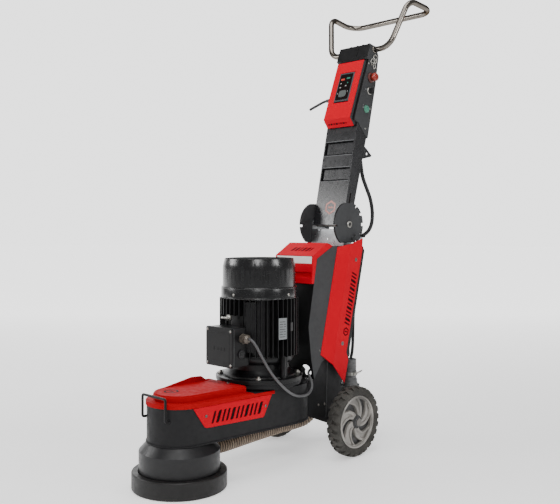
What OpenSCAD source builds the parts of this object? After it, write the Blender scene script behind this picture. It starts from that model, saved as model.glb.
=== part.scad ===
// Walk-behind single-head concrete grinder. Millimetres, +Z up, -Y is the front (the grinding head),
// +X is the operator's right. The origin is on the floor under the middle of the machine.

/* [Head] */
// Outer diameter of the floating dust skirt
skirt_d = 300; // [290:1:310]
// Height of the floating dust skirt
skirt_h = 55; // [50:1:60]
// Outer diameter of the dust shroud drum
shroud_d = 255; // [250:1:258]
// Diameter of the grinding plate
plate_d = 240; // [230:1:242]
// Number of diamond segments under the plate
segment_count = 10; // [6:1:12]

/* [Belt housing] */
// Radius of the housing's front end, about the head's axis
front_r = 102.6; // [101:0.1:104]
// Radius of the housing's rear end
rear_r = 128; // [124:0.5:130]
// Distance from the head's axis to the centre of the rear end
rear_offset = 410; // [400:1:420]
// Height of the underside of the housing
housing_z = 150; // [148:1:152]
// Height of the top of the housing's walls
housing_top = 274; // [272:1:276]
// Height of the lid's raised plateau
lid_top = 299; // [294:1:304]

/* [Motor] */
// Distance from the head's axis to the motor's axis
motor_offset = 350; // [345:1:355]
// Diameter of the motor's mounting flange
flange_d = 300; // [296:1:302]
// Pitch circle of the four flange bolts
flange_pcd = 265; // [260:1:268]
// Diameter over the cooling fins
fin_d = 274; // [268:1:276]
// Number of cooling fins
fin_count = 44; // [30:1:48]
// Largest diameter of the fan cowl
cowl_d = 263; // [258:1:266]
// Height of the top of the fan cowl
cowl_top = 708; // [700:1:716]

/* [Wheels] */
// Tyre diameter
wheel_d = 248; // [240:1:252]
// Tyre width
wheel_w = 50; // [44:1:52]
// Distance from the centre plane to the middle of each tyre
wheel_x = 188; // [184:1:190]
// Distance from the head's axis to the wheel axle
axle_offset = 636; // [630:1:640]
// Axle diameter
axle_d = 20; // [18:1:22]

/* [Column and mast] */
// Width of the column over its side panels
column_w = 187; // [185:1:189]
// Lean of the red side covers from vertical
cover_lean = 13.6; // [13:0.1:14]
// Distance from the head's axis to the mast's pivot
pivot_offset = 735; // [733:1:737]
// Height of the mast's pivot
pivot_z = 826; // [824:1:828]
// Backward lean of the mast at rest
mast_lean = 12.5; // [12:0.1:13]
// Width of the mast
mast_w = 150; // [148:1:151]
// Radius of the notched lock discs
disc_r = 84; // [80:0.5:85]
// Angle between neighbouring lock notches
notch_pitch = 28; // [28:1:28]
// Diameter of the lock bar
lock_d = 10; // [9:0.5:10.5]
// Outside diameter of the handlebar tube
bar_d = 22; // [20:1:24]

/* [Vacuum] */
// Outside diameter of the vacuum port
port_d = 50; // [48:1:51]
// Outside diameter of the dust hose
hose_d = 50; // [46:1:52]

/* [Hidden] */

// Shared clearances
run_gap = 0.05;        // radial clearance of a running fit
body_gap = 0.5;        // gap between bodies that move past each other
sheet = 3;             // general sheet-metal thickness
slot_over = 1;         // how far a cutter runs past a face

// Stations along Y, from the handlebar's rear and the skirt's front so that the origin is in the middle
bar_corners = [[145.7, 20, 706], [196.4, 38, 897], [207, 194, 913]];  // mast frame, right-hand side
bar_rear = pivot_offset + bar_corners[2][1] * cos(mast_lean) + bar_corners[2][2] * sin(mast_lean) + bar_d
    / 2;
head_y = (skirt_d / 2 - bar_rear) / 2;
wheel_r = wheel_d / 2;
pivot_y = head_y + pivot_offset;
panel_x = column_w / 2;

// Angle between the housing's straight sides and the centre plane
side_angle = asin((rear_r - front_r) / rear_offset);

// ---------- helpers ----------

function unit(v) = v / norm(v);

// Points of an arc in a plane, about c, from angle a to angle b
function arc(c, r, a, b, n) = [for (i = [0:n]) c + r * [cos(a + (b - a) * i / n),
    sin(a + (b - a) * i / n)]];

// Outline of a belt or a belt housing: two round ends, at 0 and at distance l, joined by tangents
function loop_outline(r1, r2, l, n = 22) = let (b = asin((r2 - r1) / l)) concat(
    arc([0, 0], r1, 180 + b, 360 - b, n), arc([0, l], r2, -b, 180 + b, n));

// Rounds the corner b of the path a, b, c to radius r
function corner_arc(a, b, c, r, n) = let (u = unit(a - b), v = unit(c - b), half = acos(u * v) / 2,
    centre = b + unit(u + v) * r / sin(half), e = unit(b + u * r / tan(half) - centre))
    [for (k = [0:n]) let (t = (180 - 2 * half) * k / n) centre + r * (cos(t) * e - sin(t) * u)];

// A path through corner points, each inner corner rounded to its own radius
function rounded_path(p, r, n = 5) = concat([p[0]],
    [for (i = [1:len(p) - 2]) each corner_arc(p[i - 1], p[i], p[i + 1], r[i - 1], n)], [p[len(p) - 1]]);

// A smooth curve through hand-placed points, with n steps between neighbours
function through(p, n) = concat([for (i = [0:len(p) - 2], k = [0:n - 1]) let (t = k / n,
    a = p[max(i - 1, 0)], b = p[i], c = p[i + 1], d = p[min(i + 2, len(p) - 1)])
    0.5 * (2 * b + (c - a) * t + (2 * a - 5 * b + 4 * c - d) * t * t + (3 * b - a - 3 * c + d) * t * t *
        t)],
    [p[len(p) - 1]]);

function sweep_sides(dirs, side, i = 0) = i >= len(dirs) ? [] :
    let (s = unit(side - (side * dirs[i]) * dirs[i])) concat([s], sweep_sides(dirs, s, i + 1));

// A round bar or cord swept along a path
module swept(path, d, sides = 10) {
    n = len(path);
    dirs = [for (i = [0:n - 1]) unit(path[min(i + 1, n - 1)] - path[max(i - 1, 0)])];
    s = sweep_sides(dirs, abs(dirs[0][2]) < 0.9 ? [0, 0, 1] : [1, 0, 0]);
    points = [for (i = [0:n - 1], k = [0:sides - 1]) let (a = 360 * k / sides)
        path[i] + d / 2 * (cos(a) * s[i] + sin(a) * cross(dirs[i], s[i]))];
    faces = concat([[for (k = [0:sides - 1]) k]], [[for (k = [sides - 1:-1:0]) (n - 1) * sides + k]],
        [for (i = [0:n - 2], k = [0:sides - 1]) let (k2 = (k + 1) % sides)
            [i * sides + k, (i + 1) * sides + k, (i + 1) * sides + k2, i * sides + k2]]);
    polyhedron(points, faces);
}

// Places children in the frame whose origin is on the floor under the head's axis
module from_head(y = 0) { translate([0, head_y + y, 0]) children(); }

// Places children in the mast's frame: origin at the pivot, z up the mast, -y towards its front
module on_mast() { translate([0, pivot_y, pivot_z]) rotate([-mast_lean, 0, 0]) children(); }

// A side-view outline of [y, z] points, extruded across the machine from x0 to x1
module across(points, x0, x1) {
    translate([x0, 0, 0]) rotate([90, 0, 90]) linear_extrude(height = x1 - x0) polygon(points);
}

// The same on both sides of the machine
module both_sides(points, x0, x1) {
    across(points, x0, x1);
    across(points, -x1, -x0);
}

// A round bar along X from x0 to x1
module cross_bar(x0, x1, r, y = 0, z = 0) {
    translate([x0, y, z]) rotate([0, 90, 0]) cylinder(r = r, h = x1 - x0, $fn = 64);
}

module ring(r_out, r_in, h, z = 0) {
    translate([0, 0, z]) difference() {
        cylinder(r = r_out, h = h, $fn = 96);
        translate([0, 0, -slot_over]) cylinder(r = r_in, h = h + 2 * slot_over, $fn = 96);
    }
}

// The housing's plan outline, grown by g, from height z0 to z1
module housing_slab(g, z0, z1) {
    translate([0, 0, z0]) linear_extrude(height = z1 - z0)
        polygon(loop_outline(front_r + g, rear_r + g, rear_offset));
}

// Children placed at the four flange bolts
module at_flange_bolts() {
    for (a = [45:90:315])
        translate([flange_pcd / 2 * cos(a), motor_offset + flange_pcd / 2 * sin(a), 0]) children();
}

// ---------- grinding head ----------

drum_z = 20;
ledge_t = 8;
skirt_wall = 12;
plate_z = 12;
plate_t = 10;

module floor_skirt() {
    bevel = 3;
    outer = skirt_d / 2;
    ledge_r = shroud_d / 2 + 2;
    color("#3d3b3a") from_head() rotate_extrude($fn = 96) polygon([[outer - skirt_wall, 0],
        [outer - bevel, 0],
        [outer, bevel], [outer, skirt_h - bevel], [outer - bevel, skirt_h], [ledge_r, skirt_h],
        [ledge_r, skirt_h - ledge_t], [outer - skirt_wall, skirt_h - ledge_t]]);
}

module dust_shroud() {
    wall = 4;
    r = shroud_d / 2;
    neck = front_r;
    shoulder_z = 119;
    neck_z = housing_z - 4;
    outlet_z = 94;
    color("#3f4041") from_head() difference() {
        union() {
            rotate_extrude($fn = 96) polygon([[r - wall, drum_z], [r, drum_z], [r, shoulder_z],
                [neck, neck_z],
                [46, neck_z], [46, neck_z - wall], [neck - 2, neck_z - wall], [r - wall, shoulder_z - 2]]);
            translate([0, r - 6, outlet_z]) rotate([-90, 0, 0]) cylinder(r = hose_d / 2 - 2, h = 22,
                $fn = 64);
        }
        translate([0, r - 14, outlet_z]) rotate([-90, 0, 0]) cylinder(r = hose_d / 2 - 6, h = 40, $fn = 64);
    }
}

module grinding_plate() {
    hole_r = 4.25;
    color("#8a8c8f") from_head() translate([0, 0, plate_z]) difference() {
        cylinder(r = plate_d / 2, h = plate_t, $fn = 96);
        for (a = [30:120:270]) rotate([0, 0, a]) translate([80, 0, -slot_over])
            cylinder(r = hole_r, h = plate_t + 2 * slot_over, $fn = 48);
    }
}

module diamond_segments() {
    color("#6f6c66") from_head() for (i = [0:segment_count - 1]) rotate([0, 0, 360 * i / segment_count])
        translate([92, -7, 0]) cube([24, 14, plate_z]);
}

spindle_r = 17.5;
bearing_r = 36;
pulley_z = 182;
pulley_h = 40;

module spindle() {
    hub_r = 58;
    hub_h = 12;
    color("#9a9da0") from_head() union() {
        translate([0, 0, plate_z + plate_t]) cylinder(r = hub_r, h = hub_h, $fn = 96);
        translate([0, 0, plate_z + plate_t + hub_h]) cylinder(r = spindle_r, h = 206 - hub_h, $fn = 64);
    }
}

module spindle_housing() {
    color("#55585b") from_head() difference() {
        union() {
            translate([0, 0, 96]) cylinder(r = 44, h = 82, $fn = 96);
            translate([0, 0, housing_z + 4]) cylinder(r = 64, h = 8, $fn = 96);
        }
        translate([0, 0, 95]) cylinder(r = bearing_r, h = 90, $fn = 96);
    }
}

module bearings() {
    color("#c9cbcd") from_head() {
        ring(bearing_r, spindle_r + run_gap, 17, 98);
        ring(bearing_r, spindle_r + run_gap, 17, 159);
        translate([0, motor_offset, 0]) {
            ring(40, 20 + run_gap, 20, 316);
            ring(36, 20 + run_gap, 17, 556);
        }
    }
}

spindle_pulley_r = 62;
motor_pulley_r = 50;

module pulley(r, bore) {
    rim = 2.5;
    difference() {
        union() {
            translate([0, 0, pulley_z]) cylinder(r = r, h = pulley_h, $fn = 96);
            translate([0, 0, pulley_z]) cylinder(r = r + 4, h = rim, $fn = 96);
            translate([0, 0, pulley_z + pulley_h - rim]) cylinder(r = r + 4, h = rim, $fn = 96);
        }
        translate([0, 0, pulley_z - slot_over]) cylinder(r = bore, h = pulley_h + 2 * slot_over, $fn = 64);
    }
}

module spindle_pulley() { color("#77797c") from_head() pulley(spindle_pulley_r, spindle_r); }

module motor_pulley() { color("#77797c") from_head(motor_offset) pulley(motor_pulley_r, 20); }

module drive_belt() {
    slack = 0.3;
    belt_t = 5;
    color("#232323") from_head() translate([0, 0, pulley_z + 4]) linear_extrude(height = pulley_h - 8)
        difference() {
        polygon(loop_outline(spindle_pulley_r + slack + belt_t, motor_pulley_r + slack + belt_t,
            motor_offset));
        polygon(loop_outline(spindle_pulley_r + slack, motor_pulley_r + slack, motor_offset));
    }
}

// ---------- belt housing ----------

deck_y = 204;
deck_t = 8;
spigot_r = 110;
wall_t = 4;

module belt_housing() {
    color("#414243") from_head() difference() {
        union() {
            housing_slab(0, housing_z, housing_top);
            housing_slab(3, housing_z - 4, housing_z);
        }
        difference() {
            housing_slab(-wall_t, housing_z + wall_t, housing_top + slot_over);
            translate([-200, deck_y, housing_top - deck_t]) cube([400, 400, 2 * deck_t]);
        }
        translate([0, 0, housing_z - 10]) cylinder(r = 44, h = 20, $fn = 96);
        translate([0, motor_offset, housing_top - 2 * deck_t]) cylinder(r = spigot_r, h = 4 * deck_t,
            $fn = 96);
    }
}

lid_rear = 212;
plateau_rear = 199;
lid_t = 3;
lip_drop = 11;
lip_rear = 302;
// Side view of the upstanding rib along the lid's left edge
lid_rib = [[-12, 298], [110, 318], [150, 316], [168, 303], [198, 299], [198, 296], [-12, 292]];

// Part of the lid's plateau, inset by g from the housing's outline and ending at the given rear
module plateau(g, z0, z1, rear = plateau_rear) {
    intersection() {
        housing_slab(-g, z0, z1);
        translate([-150, -150, z0 - slot_over]) cube([300, 150 + rear, z1 - z0 + 2 * slot_over]);
    }
}

module belt_lid() {
    color("#d51522") from_head() difference() {
        union() {
            intersection() {
                housing_slab(3, housing_top - lip_drop, housing_top + lid_t);
                translate([-150, -150, 0]) cube([300, 150 + lid_rear, 400]);
            }
            intersection() {
                housing_slab(3, housing_top - lip_drop, housing_top);
                translate([-150, 0, 0]) cube([300, lip_rear, 400]);
            }
            across(lid_rib, -78, -71);
            plateau(20, housing_top, lid_top - 4);
            plateau(23, lid_top - 5, lid_top);
        }
        housing_slab(0.4, housing_top - lip_drop - slot_over, housing_top);
        plateau(23, housing_top - slot_over, lid_top - lid_t - 2, plateau_rear - lid_t);
    }
}

badge_t = 3;
badge = [[-22, 262.5], [296, 262.5], [262, 197], [256, 193], [28, 197], [20, 201]];

module side_badges() {
    color("#d51522") from_head() for (s = [0, 1]) mirror([s, 0, 0]) rotate([0, 0, -side_angle])
        across(badge, front_r, front_r + badge_t);
}

module panel_screw(r = 5, h = 3) { cylinder(r = r, h = h, $fn = 32); }

cover_screws = [[744, 694], [665, 390]];

module case_screws() {
    color("#b9bcbe") from_head() {
        for (s = [0, 1]) mirror([s, 0, 0]) {
            rotate([0, 0, -side_angle]) for (p = [[26, 234], [268, 229]])
                translate([front_r + badge_t, p[0], p[1]]) rotate([0, 90, 0]) panel_screw();
            for (p = cover_screws) translate([cover_x, p[0], p[1]]) rotate([0, 90, 0]) panel_screw();
        }
        translate([20, 188, lid_top]) panel_screw();
    }
}

module front_guard() {
    rod_d = 8;
    half = 58;
    out = 100;
    low = 226;
    high = 296;
    wall_y = sqrt(front_r * front_r - half * half) - 1;
    path = rounded_path([[half, -wall_y, low], [half, -out, low], [half, -out, high], [-half, -out, high],
        [-half, -out, low], [-half, -wall_y, low]], [7, 7, 7, 7], 4);
    color("#2b2c2d") from_head() swept(path, rod_d, 10);
}

// ---------- motor ----------

flange_z = 295;
flange_t = 14;
frame_z0 = 380;
frame_z1 = 573;
frame_r = 112;
shield_r = 104;
fin_w = 3;
cowl_t = 2.5;

module motor_adapter() {
    color("#3a3b3c") from_head(motor_offset) difference() {
        union() {
            translate([0, 0, housing_top]) cylinder(r = 132, h = 7, $fn = 96);
            translate([0, 0, housing_top + 7]) cylinder(r = 146, h = flange_z - housing_top - 7, $fn = 96);
        }
        translate([0, 0, housing_top - slot_over]) cylinder(r = spigot_r, h = 40, $fn = 96);
    }
}

module motor_flange() {
    rib_t = 12;
    color("#2b2c2d") from_head(motor_offset) difference() {
        union() {
            translate([0, 0, flange_z]) cylinder(r = flange_d / 2, h = flange_t, $fn = 96);
            translate([0, 0, flange_z + flange_t]) cylinder(r = shield_r,
                h = frame_z0 - flange_z - flange_t, $fn = 96);
            for (a = [0:90:180]) rotate([0, 0, a]) translate([shield_r - 4, -rib_t / 2,
                flange_z + flange_t])
                cube([30, rib_t, frame_z0 - flange_z - flange_t]);
        }
        translate([0, 0, flange_z - slot_over]) cylinder(r = 80, h = 20, $fn = 96);
        translate([0, 0, flange_z]) cylinder(r = 40, h = 41, $fn = 96);
        translate([0, 0, 336]) cylinder(r = 92, h = 60, $fn = 96);
    }
}

module flange_bolts() {
    head_h = 8;
    color("#b4b6b8") from_head() at_flange_bolts() {
        translate([0, 0, flange_z + flange_t]) ring(12, 7, 2);
        translate([0, 0, flange_z + flange_t + 2]) cylinder(r = 11, h = head_h, $fn = 6);
    }
}

module motor_body() {
    color("#2b2c2d") from_head(motor_offset) difference() {
        translate([0, 0, frame_z0]) linear_extrude(height = frame_z1 - frame_z0) difference() {
            polygon([for (i = [0:fin_count - 1]) let (a = 360 * i / fin_count, w = 360 / fin_count)
                for (q = [[frame_r, -w / 2 + 0.2], [frame_r, -atan(fin_w / 2 / frame_r) - 0.4],
                    [fin_d / 2, -atan(fin_w / 2 / fin_d * 2)], [fin_d / 2, atan(fin_w / 2 / fin_d * 2)],
                    [frame_r, atan(fin_w / 2 / frame_r) + 0.4]])
                    q[0] * [cos(a + q[1]), sin(a + q[1])]]);
            circle(r = 104, $fn = 96);
        }
        translate([-68, -fin_d, frame_z0 - slot_over]) cube([136, fin_d - 110, 140]);
    }
}

module end_shield() {
    boss = 20;
    color("#2b2c2d") from_head(motor_offset) difference() {
        union() {
            translate([0, 0, frame_z1]) cylinder(r = cowl_d / 2 - cowl_t, h = 14, $fn = 96);
            translate([0, 0, frame_z1 - boss]) cylinder(r = 50, h = boss, $fn = 96);
        }
        translate([0, 0, frame_z1 - boss - slot_over]) cylinder(r = 36, h = boss + slot_over, $fn = 96);
        translate([0, 0, frame_z1 - slot_over]) cylinder(r = 22, h = 20, $fn = 64);
    }
}

module stator() {
    color("#6b5a44") from_head(motor_offset) ring(104, 66, 130, 405);
}

module rotor_shaft() {
    color("#8d8f92") from_head(motor_offset) {
        translate([0, 0, pulley_z]) cylinder(r = 20, h = 478, $fn = 64);
        translate([0, 0, 410]) cylinder(r = 65, h = 120, $fn = 96);
    }
}

module cooling_fan() {
    color("#1e1e1f") from_head(motor_offset) difference() {
        union() {
            translate([0, 0, 600]) cylinder(r = 100, h = 4, $fn = 96);
            translate([0, 0, 600]) cylinder(r = 34, h = 42, $fn = 64);
            for (a = [0:40:320]) rotate([0, 0, a]) translate([30, -2, 602]) cube([78, 4, 40]);
        }
        translate([0, 0, 599]) cylinder(r = 20, h = 50, $fn = 64);
    }
}

module fan_cowl() {
    r = cowl_d / 2;
    t = cowl_t;
    z0 = frame_z1;
    color("#2f3032") from_head(motor_offset) difference() {
        rotate_extrude($fn = 96) polygon([[r - t, z0], [r, z0], [r, z0 + 34], [r - 2, z0 + 38],
            [r - 5, z0 + 40],
            [r - 5.5, 682], [r - 12, cowl_top], [0, cowl_top], [0, cowl_top - t],
                [r - 12 - t, cowl_top - t],
            [r - 5.5 - t, 681], [r - 5 - t, z0 + 40], [r - t, z0 + 34]]);
        for (k = [1:5]) for (a = [0:60:300]) rotate([0, 0, a + 10 * k]) translate([18 * k, 0, cowl_top - 6])
            cylinder(r = 6, h = 12, $fn = 32);
    }
}

module motor_screws() {
    color("#b9bcbe") from_head() {
        for (a = [-85:90:185]) translate([0, motor_offset, frame_z1 + 15]) rotate([0, 0, a])
            translate([cowl_d / 2, 0, 0]) rotate([0, 90, 0]) panel_screw(5, 3);
        for (x = [-57, 57], z = [364, 475]) translate([x, box_front, z]) rotate([90, 0,
            0]) panel_screw(4.5, 3);
    }
}

box_front = 164;
box_low = 357;
box_high = 483;
box_half = 62;

module terminal_box() {
    color("#303133") from_head() difference() {
        translate([-box_half, box_front + 9, box_low]) cube([2 * box_half, 67, box_high - box_low]);
        translate([-box_half + 4, box_front + 5, box_low + 4]) cube([2 * box_half - 8, 66,
            box_high - box_low - 8]);
        translate([box_half - 10, 213, 448]) rotate([0, 90, 0]) cylinder(r = 10, h = 20, $fn = 48);
        translate([box_half - 10, 207, 397]) rotate([0, 90, 0]) cylinder(r = 10, h = 20, $fn = 48);
    }
}

module terminal_lid() {
    edge = 3;
    color("#37383a") from_head() translate([0, box_front, (box_low + box_high) / 2]) rotate([-90, 0, 0])
        linear_extrude(height = 9) offset(r = 7) square([2 * (box_half + edge) - 14,
            box_high - box_low - 10],
            center = true);
}

module cable_gland() {
    color("#4c4e50") from_head() translate([box_half, 213, 448]) rotate([0, 90, 0]) difference() {
        union() {
            translate([0, 0, -4]) cylinder(r = 10, h = 8, $fn = 48);
            cylinder(r = 17.5, h = 8, $fn = 6);
            translate([0, 0, 8]) cylinder(r = 15, h = 18, $fn = 48);
            translate([0, 0, 26]) cylinder(r1 = 15, r2 = 9, h = 5, $fn = 48);
        }
        translate([0, 0, -5]) cylinder(r = motor_cable_d / 2 + 0.1, h = 40, $fn = 48);
    }
}

module blank_plug() {
    color("#3c3d3f") from_head() translate([box_half, 207, 397]) rotate([0, 90, 0]) {
        translate([0, 0, -4]) cylinder(r = 10, h = 4, $fn = 48);
        cylinder(r = 14, h = 5, $fn = 48);
        translate([0, 0, 5]) cylinder(r = 10, h = 3, $fn = 6);
    }
}

// Diameter of the motor's lead
motor_cable_d = 9;
// Route of the motor's lead, from the gland in an open loop to the hole in the column's foot
motor_route = [[84, 213, 448], [101, 213, 448], [117, 217, 435], [131, 230, 400], [145, 250, 356],
    [155, 272, 322], [158, 305, 290], [152, 346, 263], [142, 386, 246], [134, 424, 238], [122, 468, 236],
    [111, 499, 250], [99, 511, 272], [78, 519, 294], [66, 542, 304], [60, 572, 310], [58, 600, 320]];

module motor_cable() {
    color("#4a4b4d") from_head() swept(through(motor_route, 3), motor_cable_d, 8);
}

// ---------- chassis, axle and wheels ----------

foot_x = panel_x - 3 - 6;
foot_t = 6;
foot = [[496, 150], [602, 107], [650, 100], [664, 108], [668, 124], [688, 222], [668, 262], [662, 400],
    [514, 400], [521, 345], [536, 274], [506, 272], [500, 180]];

// Extra plate behind the right foot only, below the tip of the side cover
foot_gusset = [[666, 262], [686, 232], [698, 262], [696, 300], [690, 345], [664, 345]];

module chassis_frame() {
    bush_r = 16;
    color("#3d3e3f") from_head() difference() {
        union() {
            difference() {
                both_sides(foot, foot_x, foot_x + foot_t);
                housing_slab(0, housing_z, housing_top);
                housing_slab(3, housing_z - 4, housing_z);
            }
            across(foot_gusset, foot_x, foot_x + foot_t);
            across([[560, 330], [566, 336], [600, 330], [600, 324], [566, 330]], -foot_x, foot_x);
            across([[612, 220], [660, 236], [659, 241], [610, 225]], -foot_x, foot_x);
            translate([-foot_x, 537.5, 200]) cube([2 * foot_x, 6, 60]);
            for (s = [-1, 1]) translate([0, 537.5, 235]) translate([s * (foot_x - 10) - 10, 0,
                -35]) cube([20, 12, 60]);
            cross_bar(foot_x + foot_t, wheel_x - wheel_w / 2 - 2, bush_r, axle_offset, wheel_r);
            cross_bar(-wheel_x + wheel_w / 2 + 2, -foot_x - foot_t, bush_r, axle_offset, wheel_r);
        }
        cross_bar(-wheel_x, wheel_x, axle_d / 2, axle_offset, wheel_r);
    }
}

module axle() {
    color("#9a9da0") from_head() {
        cross_bar(-wheel_x - wheel_w / 2 + 2, wheel_x + wheel_w / 2 - 2, axle_d / 2, axle_offset, wheel_r);
        for (s = [-1, 1]) translate([s * (wheel_x + wheel_w / 2), axle_offset, wheel_r]) rotate([0, 90, 0])
            cylinder(r = 15, h = 4, center = true, $fn = 6);
    }
}

rim_r = 93;

module tyre(x) {
    w = wheel_w / 2;
    color("#6a6763") from_head(axle_offset) translate([x, 0, wheel_r]) rotate([0, 90, 0])
        rotate_extrude($fn = 96) polygon([[rim_r, -w + 6], [rim_r + 8, -w + 1], [wheel_r - 14, -w],
            [wheel_r - 5, -w + 4], [wheel_r, -w + 12], [wheel_r, w - 12], [wheel_r - 5, w - 4],
                [wheel_r - 14, w],
            [rim_r + 8, w - 1], [rim_r, w - 6]]);
}

module rim(x) {
    hub_r = 24;
    color("#8b8d8f") from_head(axle_offset) translate([x, 0, wheel_r]) rotate([0, 90, 0]) difference() {
        union() {
            ring(rim_r, rim_r - 9, wheel_w - 12, -wheel_w / 2 + 6);
            translate([0, 0, -20]) cylinder(r = hub_r, h = 40, $fn = 64);
            for (a = [0:72:288]) rotate([0, 0, a]) translate([0, 0, -9]) linear_extrude(height = 18)
                polygon([[18, -11], [58, -9], [86, -15], [87, 4], [60, 11], [18, 11]]);
        }
        translate([0, 0, -30]) cylinder(r = axle_d / 2 + run_gap, h = 60, $fn = 64);
    }
}

module tyre_left() { tyre(-wheel_x); }
module tyre_right() { tyre(wheel_x); }
module rim_left() { rim(-wheel_x); }
module rim_right() { rim(wheel_x); }

// ---------- column ----------

// Side view of the column's front edge, from its foot up to the top
column_front = [[532, 274], [517, 345], [502, 463], [531, 614], [547, 702], [635, 747]];
column_back = [[800, 744], [703, 352], [703, 345]];

// The same front edge moved inwards by one sheet thickness
function inset_front(t) = [for (i = [0:5]) column_front[i] + [t * 1.05, i == 0 ? 0 : -t * 0.25]];

module column() {
    grommet_r = 23;
    color("#4b4d4f") from_head() difference() {
        union() {
            both_sides(concat(column_front, column_back, [[600, 345], [574, 331]]), panel_x - sheet,
                panel_x);
            across(concat(column_front, [for (i = [5:-1:0]) inset_front(sheet)[i]]), -panel_x + sheet,
                panel_x - sheet);
            across([[800, 744], [797, 744], [706, 372], [709, 372]], -panel_x + sheet, panel_x - sheet);
        }
        translate([61, 480, 301]) rotate([-90, 0, 0]) cylinder(r = grommet_r, h = 80, $fn = 64);
    }
}

cover_x = 113.5;
cover_t = 2;
cover_bevel = 20;
// Side view of a side cover: front edge, top, rear edge, lower tip
cover_side = [[566, 357], [660, 743], [716, 754], [786, 774], [782, 726], [688, 355], [699, 326],
    [677, 243],
    [611, 318]];

// Folded cover sheet: a bevelled front leaf and a flat side leaf, leaning with the column
module cover_leaves(leaf_w = 51.5, side_w = 90) {
    x0 = cover_x - cover_bevel;
    translate([0, 566, 357]) rotate([-cover_lean, 0, 0]) translate([0, 0,
        -200]) linear_extrude(height = 700)
        polygon([[x0 - cover_t, -4], [x0, -4], [cover_x, leaf_w], [cover_x, leaf_w + side_w],
            [cover_x - cover_t, leaf_w + side_w], [cover_x - cover_t, leaf_w + 0.5], [x0 - cover_t, 0.5]]);
}

module cover() {
    color("#cf1420") from_head() intersection() {
        cover_leaves();
        across(cover_side, panel_x, cover_x + 1);
    }
}

module cover_right() { cover(); }
module cover_left() { mirror([1, 0, 0]) cover(); }

lamp_side = [[519, 614], [528, 713], [604, 758], [635, 747.5], [547, 702.5], [531, 614]];

module lamp_housing() {
    color("#d51522") from_head() difference() {
        across(lamp_side, -panel_x, panel_x);
        translate([-panel_x + 7, 500, 684]) cube([2 * panel_x - 14, 34, 28]);
        translate([-panel_x + 5, 505, 638]) rotate([-5, 0, 0]) cube([2 * panel_x - 10, 24, 18]);
    }
}

module lamp_lens() {
    color("#f6f2ea") from_head() translate([-panel_x + 7.5, 527.5, 684.5]) cube([2 * panel_x - 15, 6, 26]);
}

// ---------- pivot and lock ----------

ear_x0 = mast_w / 2 + body_gap;
ear_t = 5;
disc_x0 = ear_x0 + ear_t + body_gap;
disc_t = 7;
pin_r = 8;
lock_rest = disc_r + lock_d / 2 + 1.5;
lock_travel = 12;
lock_angle = -notch_pitch;

// Children placed in the pivot's frame: x across, [y, z] from the pivot's axis
module at_pivot() { translate([0, pivot_y, pivot_z]) children(); }

// A [y, z] place in the pivot's frame, a distance r along the lock bar's slot and w above its centre line
function along_slot(r, w) = [r * cos(lock_angle) - w * sin(lock_angle),
    r * sin(lock_angle) + w * cos(lock_angle)];

module pivot_bracket() {
    foot_z = -132;
    half_w = 24;
    arm_w = 13;
    arm_end = lock_rest + lock_d + 2;
    slot_w = lock_d + 0.6;
    front_t = 4;
    top_z = -17;
    rear_y = 37;
    ear = concat([[-half_w, foot_z], [half_w, foot_z], [half_w, -62], along_slot(60, -arm_w),
        along_slot(arm_end, -arm_w), along_slot(arm_end, arm_w), along_slot(30, arm_w)],
        arc([0, 0], 22, 10, 180, 12), [[-half_w, -20]]);
    color("#c4c6c8") at_pivot() {
        difference() {
            both_sides(ear, ear_x0, ear_x0 + ear_t);
            cross_bar(-ear_x0 - ear_t - 1, ear_x0 + ear_t + 1, pin_r);
            for (s = [0, 1]) mirror([s, 0, 0]) translate([ear_x0 - 1, 0, 0]) rotate([lock_angle, 0, 0])
                translate([0, lock_rest - lock_travel - slot_w / 2, -slot_w / 2])
                    cube([ear_t + 2, lock_travel + slot_w, slot_w]);
        }
        difference() {
            translate([-ear_x0, -half_w, foot_z]) cube([2 * ear_x0, front_t, top_z - foot_z]);
            translate([0, -half_w - 2, -55]) rotate([-90, 0, 0]) cylinder(r = 4, h = 20, $fn = 32);
        }
        translate([-ear_x0, -half_w + front_t, foot_z]) cube([2 * ear_x0, rear_y + half_w - front_t,
            front_t]);
        for (s = [0, 1]) mirror([s, 0, 0]) translate([ear_x0 + ear_t, -half_w, foot_z])
            cube([panel_x - sheet - ear_x0 - ear_t, 2 * half_w, 30]);
    }
}

module pivot_pin() {
    color("#d7d9da") at_pivot() {
        cross_bar(-disc_x0 - disc_t - 0.3, disc_x0 + disc_t + 0.3, pin_r);
        cross_bar(disc_x0 + disc_t + 0.3, disc_x0 + disc_t + 4.5, 13);
        cross_bar(-disc_x0 - disc_t - 4.5, -disc_x0 - disc_t - 0.3, 13);
    }
}

module lock_bar() {
    reach = disc_x0 + disc_t + 5;
    color("#2b2c2d") at_pivot() rotate([lock_angle, 0, 0]) {
        cross_bar(-reach, reach, lock_d / 2, lock_rest);
        for (s = [-1, 1]) cross_bar(s * reach - 4, s * reach + 4, lock_d / 2 + 3, lock_rest);
        translate([-20, lock_rest + lock_d / 2 - 1.5, -12]) cube([40, 4, 24]);
    }
}

// ---------- mast and controls ----------

mast_side = [[-20, -5], [-20, 397], [-17, 396], [46, 351], [44, 330], [30, 92], [27, -5]];
mast_inner = [[-12, -20], [-12, 389], [42, 349], [40, 330], [26, 92], [23, -20]];
// Lower and upper edge of each pressed panel on the mast's front
mast_panels = [[166, 221], [269, 326]];

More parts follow.
